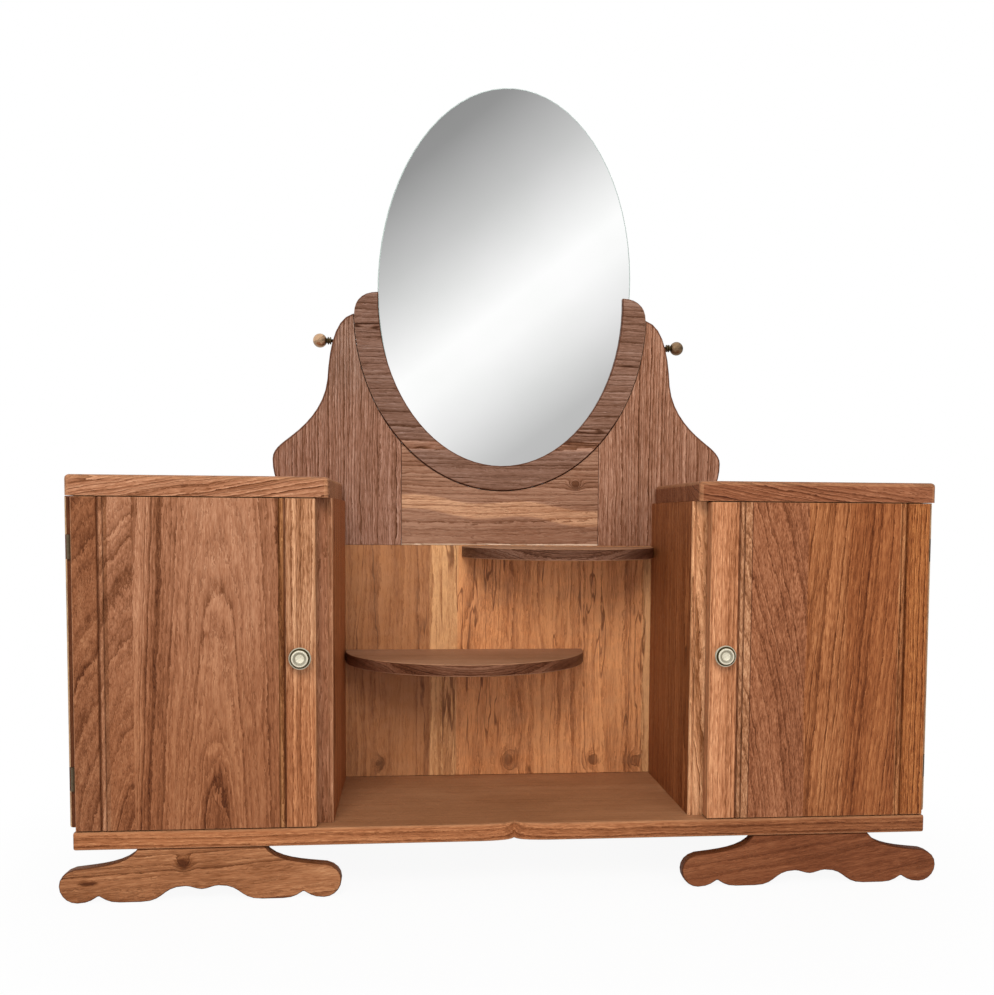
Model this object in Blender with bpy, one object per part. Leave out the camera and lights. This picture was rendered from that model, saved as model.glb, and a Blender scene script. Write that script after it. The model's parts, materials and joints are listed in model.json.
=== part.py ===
"""Oak dressing table: two door cabinets, an open niche with half-round shelves, a tilting oval mirror.

Metres, +Z up, +X to the right and the front facing -Y. Places are written from the front plane (y = 0)
backwards, from the middle (x = 0) outwards and from the floor (z = 0) upwards. The root empty then puts
the origin under the middle of the whole object.
"""

import math

import bmesh
import bpy
from mathutils import Vector

# Clearances
FIT_GAP = 0.0003
RUNNING_GAP = 0.0003
CATCH_GAP = 0.0008
EASED_EDGE = 0.0012

# Feet: a scalloped board, drawn as a half outline from its middle
FOOT_HEIGHT = 0.068
FOOT_THICK = 0.016
FOOT_SETBACK = 0.003
FOOT_CENTRE_INSET = 0.1657
FOOT_HALF_LENGTH = 0.1747
FOOT_ARM_HEIGHT = 0.0445
FOOT_LOBE_RADIUS = 0.0222
FOOT_TOP_HALF = 0.0785
FOOT_NOTCH_HEIGHT = 0.009
FOOT_BELLY_MID = 0.088
FOOT_BELLY_FLAT = 0.026
FOOT_RISE_HEIGHT = 0.0188
FOOT_RISE_X = 0.0205
FOOT_NIPPLE_HEIGHT = 0.0145

# Base board, with a small cusp in the middle of its front edge
BASE_THICK = 0.023
BASE_INSET = 0.0100
CUSP_DEPTH = 0.013
CUSP_REACH = 0.060
BASE_ROUND = 0.003

# Cabinets
NICHE_WIDTH = 0.467
CABINET_WIDTH = 0.3295
CARCASS_DEPTH = 0.251
SIDE_HEIGHT = 0.4185
INNER_SIDE_THICK = 0.022
OUTER_SIDE_THICK = 0.0245
BACK_PANEL_THICK = 0.008
TOP_THICK = 0.026
TOP_OUTER_INSET = 0.0066
TOP_INNER_INSET = 0.0036
TOP_ROUND = 0.005
SHELF_THICK = 0.016
SHELF_HEIGHT = 0.205
SHELF_SETBACK = 0.030
CLEAT_SIZE = 0.016
CLEAT_LENGTH = 0.180

# Niche
NICHE_BACK_THICK = 0.014
NICHE_BACK_HEIGHT = 0.353
HALF_SHELF_THICK = 0.017
LOWER_SHELF_RADIUS = 0.180
LOWER_SHELF_TOP = 0.195
UPPER_SHELF_RADIUS = 0.146
UPPER_SHELF_DROP = 0.001

# Doors: three upright boards on two battens
DOOR_THICK = 0.020
DOOR_OUTER_REVEAL = 0.0135
DOOR_INNER_REVEAL = 0.0197
DOOR_TOP_GAP = 0.0012
DOOR_BOTTOM_GAP = 0.0015
OUTER_STILE = 0.031
INNER_STILE = 0.038
BOARD_CHAMFER = 0.0014
BEAD_WIDTH = 0.0066
QUIRK_WIDTH = 0.0014
QUIRK_DEPTH = 0.0024
BATTEN_HEIGHT = 0.045
BATTEN_THICK = 0.014
BATTEN_END_GAP = 0.0065

# Hinges, one near each end of a door
HINGE_GAP = 0.0027
HINGE_HEIGHT = 0.030
HINGE_AXIS_INSET = 0.0053
HINGE_DOWN = 0.0623
HINGE_UP = 0.061
LEAF_THICK = 0.0009
LEAF_WIDTH = 0.0187
KNUCKLE_RADIUS = 0.0027
HINGE_PIN_RADIUS = 0.0012

# Door knobs
KNOB_HEIGHT = 0.218
KNOB_RADIUS = 0.014
KNOB_REACH = 0.0155
KNOB_NECK_RADIUS = 0.0065
KNOB_STEM_RADIUS = 0.0025
ROSE_RADIUS = 0.0115
ROSE_THICK = 0.0022
NUT_RADIUS = 0.0046
NUT_THICK = 0.004

# Ball catches under the tops
CATCH_FROM_EDGE = 0.034
CATCH_WIDTH = 0.032
CATCH_DEPTH = 0.014
CATCH_HEIGHT = 0.019
CATCH_PLATE = 0.0025
CATCH_CHEEK = 0.007
CATCH_SETBACK = 0.0045
CATCH_BALL = 0.003
STRIKE_PLATE = 0.0014
STRIKE_WIDTH = 0.018
STRIKE_HEIGHT = 0.010
BEAK_HEIGHT = 0.005

# Mirror: the glass, the crescent that holds it and the board behind the niche
BOARD_THICK = 0.018
BOARD_RAIL = 0.0818
BOARD_JOINT_X = 0.150
BOARD_BATTEN_THICK = 0.012
BOARD_BATTEN_HEIGHT = 0.045
BOARD_BATTEN_RISE = 0.010
BOARD_BATTEN_HALF = 0.225
TILT_GAP = 0.0012
GLASS_WIDTH = 0.381
GLASS_HEIGHT = 0.583
GLASS_THICK = 0.005
GLASS_BEVEL = 0.0015
GLASS_OFFSET = 0.0055
GLASS_LEAN = math.radians(2.5)
BACKING_THICK = 0.005
BACKING_INSET = 0.001
SIGHT_LIP = 0.0062
SIGHT_BOTTOM_LIP = 0.0217
SIGHT_DROP = 0.024
RIM_SIDE = 0.0355
RIM_BOTTOM = 0.037
RIM_DROP = 0.017
CRESCENT_THICK = 0.022
CRESCENT_PROUD = 0.002
LIP_THICK = 0.006
TIP_RISE = 0.072
TIP_SHOULDER = 0.034

# Tilt axis, ball-ended screws, and the wings they go through
PIVOT_RISE = 0.2202
WING_WIDTH = 0.0358
WING_TOP_RISE = 0.040
WING_NECK_DROP = 0.058
WING_NECK_WIDTH = 0.0416
WING_SPAN = 0.3403
WING_TIP_RISE = 0.0355
WING_LEDGE_DROP = 0.0165
SCREW_RADIUS = 0.003
SCREW_DEPTH = 0.014
BALL_RADIUS = 0.009
SCREW_NECK = 0.0075
COLLAR_RADIUS = 0.0055
COLLAR_LENGTH = 0.002

# Levels, worked out from the sizes above
BASE_Z = FOOT_HEIGHT + FIT_GAP
FLOOR_Z = BASE_Z + BASE_THICK
SIDE_Z = FLOOR_Z + FIT_GAP
TOP_Z = SIDE_Z + SIDE_HEIGHT + FIT_GAP
TOP_FACE_Z = TOP_Z + TOP_THICK
DOOR_LOW = FLOOR_Z + DOOR_BOTTOM_GAP
DOOR_HIGH = TOP_Z - DOOR_TOP_GAP
BOARD_Z = SIDE_Z + NICHE_BACK_HEIGHT + FIT_GAP
CUTOUT_LOW = BOARD_Z + BOARD_RAIL
RIM_LOW = CUTOUT_LOW + TILT_GAP
SIGHT_LOW = RIM_LOW + RIM_BOTTOM
GLASS_LOW = SIGHT_LOW - SIGHT_BOTTOM_LIP
GLASS_Z = GLASS_LOW + GLASS_HEIGHT / 2
SIGHT_Z = GLASS_Z - SIGHT_DROP
RIM_Z = SIGHT_Z - RIM_DROP
PIVOT_Z = RIM_LOW + PIVOT_RISE

# Distances from the middle
INNER_FACE_X = NICHE_WIDTH / 2
OUTER_FACE_X = INNER_FACE_X + CABINET_WIDTH
BAY_INNER_X = INNER_FACE_X + INNER_SIDE_THICK
BAY_OUTER_X = OUTER_FACE_X - OUTER_SIDE_THICK
DOOR_INNER_X = INNER_FACE_X + DOOR_INNER_REVEAL
DOOR_OUTER_X = OUTER_FACE_X - DOOR_OUTER_REVEAL
HINGE_X = OUTER_FACE_X - HINGE_AXIS_INSET
KNOB_X = DOOR_INNER_X + INNER_STILE / 2
SIGHT_HALF = GLASS_WIDTH / 2 - SIGHT_LIP
RIM_HALF = SIGHT_HALF + RIM_SIDE

# Depths behind the front plane
CARCASS_FRONT = DOOR_THICK + HINGE_GAP
CARCASS_BACK = CARCASS_FRONT + CARCASS_DEPTH
BOARD_FRONT = CARCASS_BACK + FIT_GAP
BOARD_BACK = BOARD_FRONT + BOARD_THICK
BASE_DEPTH = BOARD_BACK + FIT_GAP + BOARD_BATTEN_THICK
HINGE_Y = DOOR_THICK + HINGE_GAP / 2
PIVOT_Y = BOARD_FRONT + BOARD_THICK / 2
CRESCENT_FRONT = BOARD_FRONT - CRESCENT_PROUD
GLASS_FRONT = CRESCENT_FRONT + LIP_THICK + FIT_GAP
MIDDLE_Y = (BASE_DEPTH - KNOB_REACH) / 2

SIDES = (("left", -1), ("right", 1))
CURVE_STEPS = 7
OVAL_STEPS = 72
TURN_STEPS = 20
PIN_STEPS = 16


def clear_scene():
    for old in list(bpy.data.objects):
        bpy.data.objects.remove(old, do_unlink=True)


def finish(name, colour, roughness, metallic=0.0):
    material = bpy.data.materials.new(name)
    material.use_nodes = True
    shader = material.node_tree.nodes["Principled BSDF"]
    shader.inputs["Base Color"].default_value = (*colour, 1.0)
    shader.inputs["Roughness"].default_value = roughness
    shader.inputs["Metallic"].default_value = metallic
    return material


def empty(name, place, parent=None):
    marker = bpy.data.objects.new(name, None)
    marker.empty_display_size = 0.03
    marker.location = place
    marker.parent = parent
    bpy.context.scene.collection.objects.link(marker)
    return marker


def add_solid(name, shape, material, parent):
    """Turn a bmesh, drawn in the object's own coordinates, into an object placed by its centre."""
    bmesh.ops.recalc_face_normals(shape, faces=shape.faces)
    places = [corner.co for corner in shape.verts]
    low = Vector(min(place[axis] for place in places) for axis in range(3))
    high = Vector(max(place[axis] for place in places) for axis in range(3))
    centre = (low + high) / 2
    bmesh.ops.translate(shape, verts=shape.verts, vec=-centre)
    mesh = bpy.data.meshes.new(name)
    shape.to_mesh(mesh)
    shape.free()
    solid = bpy.data.objects.new(name, mesh)
    carrier = parent.location if parent.parent else Vector()
    solid.location = centre - carrier
    solid.parent = parent
    if material:
        mesh.materials.append(material)
    else:
        solid.hide_render = True
        solid.display_type = "WIRE"
    bpy.context.scene.collection.objects.link(solid)
    return solid


def prism(name, outline, across, reach, material, parent):
    """Sweep a flat outline along one axis. The outline gives the other two axes, in X, Y, Z order."""
    shape = bmesh.new()
    order = {"X": (2, 0, 1), "Y": (0, 2, 1), "Z": (0, 1, 2)}[across]
    start = []
    for point in outline:
        flat = (*point, min(reach))
        start.append(shape.verts.new([flat[index] for index in order]))
    face = shape.faces.new(start)
    swept = bmesh.ops.extrude_face_region(shape, geom=[face])
    moved = [item for item in swept["geom"] if isinstance(item, bmesh.types.BMVert)]
    step = Vector((0, 0, 0))
    step["XYZ".index(across)] = max(reach) - min(reach)
    bmesh.ops.translate(shape, verts=moved, vec=step)
    return add_solid(name, shape, material, parent)


def board(name, x, y, z, material, parent, ease=EASED_EDGE, steps=1):
    """A rectangular piece with eased edges."""
    outline = [(x[0], y[0]), (x[1], y[0]), (x[1], y[1]), (x[0], y[1])]
    solid = prism(name, outline, "Z", z, material, parent)
    if ease:
        round_edges(solid, ease, steps)
    return solid


def rod(name, centre, radius, across, reach, material, parent, steps=PIN_STEPS):
    """A round bar along one axis, its centre given on the other two axes."""
    turn = 2 * math.pi / steps
    outline = []
    for step in range(steps):
        along = centre[0] + radius * math.cos(step * turn)
        up = centre[1] + radius * math.sin(step * turn)
        outline.append((along, up))
    return prism(name, outline, across, reach, material, parent)


def round_edges(solid, width, steps):
    bevel = solid.modifiers.new("round_edges", "BEVEL")
    bevel.width = width
    bevel.segments = steps
    bevel.limit_method = "ANGLE"
    bevel.angle_limit = math.radians(40)


def combine(solid, other, operation):
    joint = solid.modifiers.new(other.name, "BOOLEAN")
    joint.operation = operation
    joint.solver = "EXACT"
    joint.object = other


def turned(name, profile, place, rotation, material, parent):
    """A piece turned on a lathe. The profile runs from its top end to its bottom end as (radius, height)."""
    shape = bmesh.new()
    rings = [shape.verts.new((radius, 0, height)) for radius, height in profile]
    for upper, lower in zip(rings, rings[1:]):
        shape.edges.new((upper, lower))
    mesh = bpy.data.meshes.new(name)
    shape.to_mesh(mesh)
    shape.free()
    mesh.materials.append(material)
    solid = bpy.data.objects.new(name, mesh)
    carrier = parent.location if parent.parent else Vector()
    solid.location = Vector(place) - carrier
    solid.rotation_euler = rotation
    solid.parent = parent
    lathe = solid.modifiers.new("lathe", "SCREW")
    lathe.axis = "Z"
    lathe.steps = TURN_STEPS
    lathe.render_steps = TURN_STEPS
    lathe.use_merge_vertices = True
    lathe.merge_threshold = 0.00001
    lathe.use_smooth_shade = True
    bpy.context.scene.collection.objects.link(solid)
    return solid


def bezier(points, steps=CURVE_STEPS):
    """Points along a cubic curve, without its start."""
    start, leave, arrive, end = (Vector(point) for point in points)
    curve = []
    for step in range(1, steps + 1):
        t = step / steps
        u = 1 - t
        place = u**3 * start + 3 * u * u * t * leave + 3 * u * t * t * arrive + t**3 * end
        curve.append(tuple(place))
    return curve


def arc(centre, half_width, half_height, start, end, steps):
    """Points along an oval from one angle to another, both included. Zero points along +X."""
    points = []
    for step in range(steps + 1):
        angle = start + (end - start) * step / steps
        points.append((centre[0] + half_width * math.cos(angle), centre[1] + half_height * math.sin(angle)))
    return points


def oval(centre, half_width, half_height, steps=OVAL_STEPS):
    return arc(centre, half_width, half_height, 0, 2 * math.pi, steps)[:-1]


def glass_oval(grow):
    """The glass's outline, larger or smaller all round, leaning a little to the right in its frame."""
    lean_cos = math.cos(GLASS_LEAN)
    lean_sin = math.sin(GLASS_LEAN)
    points = []
    for x, z in oval((0.0, 0.0), GLASS_WIDTH / 2 + grow, GLASS_HEIGHT / 2 + grow):
        points.append((GLASS_OFFSET + x * lean_cos + z * lean_sin, GLASS_Z + z * lean_cos - x * lean_sin))
    return points


def angle_at_x(x, half_width):
    """Angle below the horizontal at which an oval has this distance from its upright axis."""
    return -math.acos(min(1.0, x / half_width))


def angle_at_z(z, centre_z, half_height):
    return math.asin(max(-1.0, min(1.0, (z - centre_z) / half_height)))


def mirrored(points, side):
    return [(side * x, other) for x, other in points]


def stretch(side, near, far):
    """Low and high x between two distances from the middle."""
    return tuple(sorted((side * near, side * far)))


def foot_half_outline():
    """Right half of a foot from the middle of its underside round to the middle of its top."""
    belly_in = FOOT_BELLY_MID - FOOT_BELLY_FLAT / 2
    belly_out = FOOT_BELLY_MID + FOOT_BELLY_FLAT / 2
    lobe_x = FOOT_HALF_LENGTH - FOOT_LOBE_RADIUS
    notch_x = (belly_out + lobe_x) / 2
    lobe_mid = FOOT_ARM_HEIGHT / 2
    rise = FOOT_RISE_HEIGHT
    notch = FOOT_NOTCH_HEIGHT
    arm_x = lobe_x - FOOT_LOBE_RADIUS / 3
    points = [(0.0, FOOT_NIPPLE_HEIGHT)]
    third = FOOT_RISE_X / 3
    points += bezier([points[-1], (third, FOOT_NIPPLE_HEIGHT), (2 * third, rise), (FOOT_RISE_X, rise)], 4)
    run = (belly_in - FOOT_RISE_X) * 0.55
    points += bezier([points[-1], (FOOT_RISE_X + run, rise), (belly_in - run, 0.0), (belly_in, 0.0)])
    points.append((belly_out, 0.0))
    run = (notch_x - belly_out) * 0.6
    near = (notch_x - run / 3, notch * 0.7)
    far = (notch_x + run / 3, notch * 0.7)
    points += bezier([points[-1], (belly_out + run, 0.0), near, (notch_x, notch)], 4)
    points += bezier([points[-1], far, (lobe_x - run, 0.0), (lobe_x, 0.0)], 4)
    swell = FOOT_LOBE_RADIUS * 0.55
    end_x = FOOT_HALF_LENGTH
    points += bezier([points[-1], (lobe_x + swell, 0.0), (end_x, lobe_mid - swell), (end_x, lobe_mid)], 5)
    lobe_top = (lobe_x + swell, FOOT_ARM_HEIGHT)
    points += bezier([points[-1], (end_x, lobe_mid + swell), lobe_top, (arm_x, FOOT_ARM_HEIGHT)], 5)
    run = arm_x - FOOT_TOP_HALF
    lift = FOOT_HEIGHT - FOOT_ARM_HEIGHT
    leave = (arm_x - 0.40 * run, FOOT_ARM_HEIGHT + 0.12 * lift)
    arrive = (FOOT_TOP_HALF + 0.16 * run, FOOT_ARM_HEIGHT + 0.27 * lift)
    points += bezier([points[-1], leave, arrive, (FOOT_TOP_HALF, FOOT_HEIGHT)])
    return points


def make_feet(root, oak):
    half = foot_half_outline()
    outline = half + [(-x, z) for x, z in reversed(half[1:])]
    rows = (("front", FOOT_SETBACK), ("rear", BASE_DEPTH - FOOT_SETBACK - FOOT_THICK))
    for row, front in rows:
        for side_name, side in SIDES:
            middle = side * (OUTER_FACE_X - FOOT_CENTRE_INSET)
            placed = [(middle + x, z) for x, z in outline]
            name = f"{row}_foot_{side_name}"
            foot = prism(name, placed, "Y", (front, front + FOOT_THICK), oak, root)
            round_edges(foot, EASED_EDGE, 1)


def make_base(root, oak):
    """One plank whose front edge runs back to a small cusp in the middle."""
    end = OUTER_FACE_X - BASE_INSET
    left_curve = [(-CUSP_REACH, 0.0), (-CUSP_REACH * 0.35, 0.0)]
    left_curve += [(-CUSP_REACH * 0.06, CUSP_DEPTH * 0.35), (0.0, CUSP_DEPTH)]
    right_curve = [(-x, y) for x, y in reversed(left_curve)]
    outline = [(-end, BASE_DEPTH), (-end, 0.0), left_curve[0]]
    outline += bezier(left_curve) + bezier(right_curve)
    outline += [(end, 0.0), (end, BASE_DEPTH)]
    base = prism("base_board", outline, "Z", (BASE_Z, FLOOR_Z), oak, root)
    round_edges(base, BASE_ROUND, 2)


def make_cabinets(root, oak, panel):
    depth = (CARCASS_FRONT, CARCASS_BACK)
    upright = (SIDE_Z, SIDE_Z + SIDE_HEIGHT)
    back_front = CARCASS_BACK - BACK_PANEL_THICK
    bay = (BAY_INNER_X + FIT_GAP, BAY_OUTER_X - FIT_GAP)
    shelf_z = FLOOR_Z + SHELF_HEIGHT
    cleat_z = (shelf_z - FIT_GAP - CLEAT_SIZE, shelf_z - FIT_GAP)
    cleat_back = back_front - FIT_GAP
    cleat_y = (cleat_back - CLEAT_LENGTH, cleat_back)
    for name, side in SIDES:
        top_x = stretch(side, INNER_FACE_X + TOP_INNER_INSET, OUTER_FACE_X - TOP_OUTER_INSET)
        board(f"{name}_top", top_x, (0.0, CARCASS_BACK), (TOP_Z, TOP_FACE_Z), oak, root, TOP_ROUND, 2)
        board(f"{name}_inner_side", stretch(side, INNER_FACE_X, BAY_INNER_X), depth, upright, oak, root)
        outer_x = stretch(side, BAY_OUTER_X, OUTER_FACE_X)
        outer = board(f"{name}_outer_side", outer_x, depth, upright, oak, root)
        notch_x = stretch(side, HINGE_X - KNUCKLE_RADIUS - RUNNING_GAP, OUTER_FACE_X + EASED_EDGE)
        notch_y = (CARCASS_FRONT - EASED_EDGE, HINGE_Y + KNUCKLE_RADIUS + RUNNING_GAP)
        for level, middle in hinge_levels():
            reach = HINGE_HEIGHT / 2 + RUNNING_GAP
            notch_z = (middle - reach, middle + reach)
            notch = board(f"cut_{name}_{level}_hinge", notch_x, notch_y, notch_z, None, root, 0)
            combine(outer, notch, "DIFFERENCE")
        board(f"{name}_back_panel", stretch(side, *bay), (back_front, CARCASS_BACK), upright, panel, root, 0)
        shelf_y = (CARCASS_FRONT + SHELF_SETBACK, back_front - FIT_GAP)
        board(f"{name}_shelf", stretch(side, *bay), shelf_y, (shelf_z, shelf_z + SHELF_THICK), panel, root)
        inner_cleat = stretch(side, bay[0], bay[0] + CLEAT_SIZE)
        outer_cleat = stretch(side, bay[1] - CLEAT_SIZE, bay[1])
        board(f"{name}_shelf_cleat_inner", inner_cleat, cleat_y, cleat_z, panel, root)
        board(f"{name}_shelf_cleat_outer", outer_cleat, cleat_y, cleat_z, panel, root)


def make_niche(root, oak):
    back_y = (BOARD_FRONT, BOARD_FRONT + NICHE_BACK_THICK)
    back_z = (SIDE_Z, SIDE_Z + NICHE_BACK_HEIGHT)
    board("niche_back", (-BAY_INNER_X, BAY_INNER_X), back_y, back_z, oak, root, 0)
    end_x = INNER_FACE_X - FIT_GAP
    lower_top = FLOOR_Z + LOWER_SHELF_TOP
    upper_top = BOARD_Z - UPPER_SHELF_DROP
    shelves = (
        ("half_shelf_lower", LOWER_SHELF_RADIUS - end_x, LOWER_SHELF_RADIUS, lower_top),
        ("half_shelf_upper", end_x - UPPER_SHELF_RADIUS, UPPER_SHELF_RADIUS, upper_top),
    )
    for name, middle, radius, top in shelves:
        outline = arc((middle, BOARD_FRONT - FIT_GAP), radius, radius, -math.pi, 0, OVAL_STEPS // 2)
        shelf = prism(name, outline, "Z", (top - HALF_SHELF_THICK, top), oak, root)
        round_edges(shelf, EASED_EDGE, 1)


def hinge_levels():
    return (("upper", DOOR_HIGH - HINGE_DOWN), ("lower", DOOR_LOW + HINGE_UP))


def panel_outline(low, high):
    """Plan of a door's middle board: a rounded bead and its quirk along each edge of the front."""
    bead_mid = BOARD_CHAMFER + (BEAD_WIDTH - BOARD_CHAMFER) / 2
    half = (BEAD_WIDTH - BOARD_CHAMFER) / 2
    edge = [(0.0, DOOR_THICK), (0.0, QUIRK_DEPTH)]
    edge += arc((bead_mid, QUIRK_DEPTH), half, -QUIRK_DEPTH, math.pi, 0, 6)
    edge += [(BEAD_WIDTH + QUIRK_WIDTH / 2, QUIRK_DEPTH), (BEAD_WIDTH + QUIRK_WIDTH, 0.0)]
    near = [(low + x, y) for x, y in edge]
    far = [(high - x, y) for x, y in reversed(edge)]
    return near + far


def stile_outline(low, high, chamfer_low, chamfer_high):
    """Plan of a plain door board, with a chamfer on the front edges that meet the middle board."""
    c = BOARD_CHAMFER
    outline = [(low, DOOR_THICK)]
    outline += [(low, c), (low + c, 0.0)] if chamfer_low else [(low, 0.0)]
    outline += [(high - c, 0.0), (high, c)] if chamfer_high else [(high, 0.0)]
    outline.append((high, DOOR_THICK))
    return outline


def make_door_boards(name, side, door, oak):
    reach = (DOOR_LOW, DOOR_HIGH)
    panel_near = DOOR_INNER_X + INNER_STILE + FIT_GAP
    panel_far = DOOR_OUTER_X - OUTER_STILE - FIT_GAP
    inner = mirrored(stile_outline(DOOR_INNER_X, DOOR_INNER_X + INNER_STILE, False, True), side)
    outer = mirrored(stile_outline(DOOR_OUTER_X - OUTER_STILE, DOOR_OUTER_X, True, False), side)
    stile = prism(f"{name}_door_inner_stile", inner, "Z", reach, oak, door)
    prism(f"{name}_door_panel", mirrored(panel_outline(panel_near, panel_far), side), "Z", reach, oak, door)
    prism(f"{name}_door_outer_stile", outer, "Z", reach, oak, door)
    knob_at = (side * KNOB_X, FLOOR_Z + KNOB_HEIGHT)
    hole = (-EASED_EDGE, DOOR_THICK + EASED_EDGE)
    radius = KNOB_STEM_RADIUS + FIT_GAP
    combine(stile, rod(f"cut_{name}_knob_hole", knob_at, radius, "Y", hole, None, door), "DIFFERENCE")
    batten_x = stretch(side, BAY_INNER_X + BATTEN_END_GAP, BAY_OUTER_X - BATTEN_END_GAP)
    batten_y = (DOOR_THICK + FIT_GAP, DOOR_THICK + FIT_GAP + BATTEN_THICK)
    for level, middle in hinge_levels():
        batten_z = (middle - BATTEN_HEIGHT / 2, middle + BATTEN_HEIGHT / 2)
        board(f"{name}_door_{level}_batten", batten_x, batten_y, batten_z, oak, door)


def make_hinge(name, level, middle, side, root, door, metal):
    """Butt hinge: the carcass leaf holds the pin and two knuckles, the door leaf the knuckle between them."""
    low = middle - HINGE_HEIGHT / 2
    knuckle = (HINGE_HEIGHT - 2 * FIT_GAP) / 3
    starts = [low + place * (knuckle + FIT_GAP) for place in range(3)]
    levels = [(start, start + knuckle) for start in starts]
    axis = (side * HINGE_X, HINGE_Y)
    plate_x = stretch(side, HINGE_X - LEAF_WIDTH, HINGE_X - KNUCKLE_RADIUS - RUNNING_GAP)
    tab_x = stretch(side, HINGE_X - KNUCKLE_RADIUS - 2 * LEAF_THICK, HINGE_X)
    leaves = (
        ("carcass_leaf", CARCASS_FRONT - FIT_GAP - LEAF_THICK, (0, 2), root),
        ("door_leaf", DOOR_THICK + FIT_GAP, (1,), door),
    )
    for leaf_name, front, places, carrier in leaves:
        full = f"{name}_{level}_hinge_{leaf_name}"
        leaf_y = (front, front + LEAF_THICK)
        leaf = board(full, plate_x, leaf_y, (low, low + HINGE_HEIGHT), metal, carrier, 0)
        for place in places:
            tab = board(f"join_{full}_tab_{place}", tab_x, leaf_y, levels[place], None, carrier, 0)
            barrel_name = f"join_{full}_barrel_{place}"
            barrel = rod(barrel_name, axis, KNUCKLE_RADIUS, "Z", levels[place], None, carrier)
            combine(leaf, tab, "UNION")
            combine(leaf, barrel, "UNION")
        pin_name = f"{full}_pin"
        if carrier is root:
            reach = (low, low + HINGE_HEIGHT)
            combine(leaf, rod(f"join_{pin_name}", axis, HINGE_PIN_RADIUS, "Z", reach, None, carrier), "UNION")
        else:
            bore = (levels[1][0] - FIT_GAP, levels[1][1] + FIT_GAP)
            radius = HINGE_PIN_RADIUS + RUNNING_GAP
            combine(leaf, rod(f"cut_{pin_name}", axis, radius, "Z", bore, None, carrier), "DIFFERENCE")


def make_knob(name, side, door, brass):
    """Turned brass knob, a raised ring round a dished middle, on a rose and held by a nut."""
    place = (side * KNOB_X, 0.0, FLOOR_Z + KNOB_HEIGHT)
    facing_front = (math.radians(90), 0, 0)
    r = KNOB_RADIUS
    face = KNOB_REACH
    seat = FIT_GAP + ROSE_THICK + FIT_GAP
    tail = -(DOOR_THICK + FIT_GAP + NUT_THICK + FIT_GAP)
    dish = [(0.0, 0.24), (0.25, 0.21), (0.45, 0.10), (0.57, 0.0)]
    ring = [(0.70, 0.0), (0.76, 0.06), (0.80, 0.26), (0.86, 0.24)]
    rim = [(0.94, 0.22), (1.0, 0.30), (1.0, 0.42), (0.78, 0.56)]
    profile = [(out * r, face - down * r) for out, down in dish + ring + rim]
    profile += [(KNOB_NECK_RADIUS, face - 0.64 * r), (KNOB_NECK_RADIUS, seat)]
    profile += [(KNOB_STEM_RADIUS, seat), (KNOB_STEM_RADIUS, tail), (0.0, tail)]
    turned(f"{name}_door_knob", profile, place, facing_front, brass, door)
    inner = KNOB_STEM_RADIUS + FIT_GAP
    rose_y = (-FIT_GAP - ROSE_THICK, -FIT_GAP)
    at = (place[0], place[2])
    rose = rod(f"{name}_door_knob_rose", at, ROSE_RADIUS, "Y", rose_y, brass, door, TURN_STEPS)
    nut_y = (DOOR_THICK + FIT_GAP, DOOR_THICK + FIT_GAP + NUT_THICK)
    nut = rod(f"{name}_door_knob_nut", at, NUT_RADIUS, "Y", nut_y, brass, door, 6)
    through = (-KNOB_REACH, DOOR_THICK + KNOB_REACH)
    hole = rod(f"cut_{name}_knob_stem", at, inner, "Y", through, None, door)
    combine(rose, hole, "DIFFERENCE")
    combine(nut, hole, "DIFFERENCE")


def make_catch(name, side, root, door, brass):
    """Ball catch: two cheeks with a ball each under the top, and a beak on the door between them."""
    middle = DOOR_INNER_X + CATCH_FROM_EDGE
    top = TOP_Z - FIT_GAP
    low = top - CATCH_HEIGHT
    body_y = (CARCASS_FRONT + CATCH_SETBACK, CARCASS_FRONT + CATCH_SETBACK + CATCH_DEPTH)
    half = CATCH_WIDTH / 2
    slot = half - CATCH_CHEEK
    plate = top - CATCH_PLATE
    outline = [(-half, top), (-half, low), (-slot, low), (-slot, plate)]
    outline += [(slot, plate), (slot, low), (half, low), (half, top)]
    placed = [(side * (middle + x), z) for x, z in outline]
    catch = prism(f"{name}_catch", placed, "Y", body_y, brass, root)
    ball_z = (low + plate) / 2
    ball_y = (body_y[0] + body_y[1]) / 2
    for ball_side in (-1, 1):
        inner = middle + ball_side * (slot - CATCH_BALL)
        outer = middle + ball_side * (slot + CATCH_CHEEK / 2)
        reach = tuple(sorted((side * inner, side * outer)))
        ball_name = f"join_{name}_catch_ball_{ball_side}"
        ball = rod(ball_name, (ball_y, ball_z), CATCH_BALL, "X", reach, None, root)
        combine(catch, ball, "UNION")
    back = DOOR_THICK + FIT_GAP
    plate_x = stretch(side, middle - STRIKE_WIDTH / 2, middle + STRIKE_WIDTH / 2)
    plate_z = (ball_z - STRIKE_HEIGHT / 2, ball_z + STRIKE_HEIGHT / 2)
    strike = board(f"{name}_catch_strike", plate_x, (back, back + STRIKE_PLATE), plate_z, brass, door, 0)
    beak_half = slot - CATCH_BALL - CATCH_GAP
    beak_x = stretch(side, middle - beak_half, middle + beak_half)
    beak_y = (back + STRIKE_PLATE / 2, body_y[1] - CATCH_GAP)
    beak_z = (ball_z - BEAK_HEIGHT / 2, ball_z + BEAK_HEIGHT / 2)
    combine(strike, board(f"join_{name}_catch_beak", beak_x, beak_y, beak_z, None, door, 0), "UNION")


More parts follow.
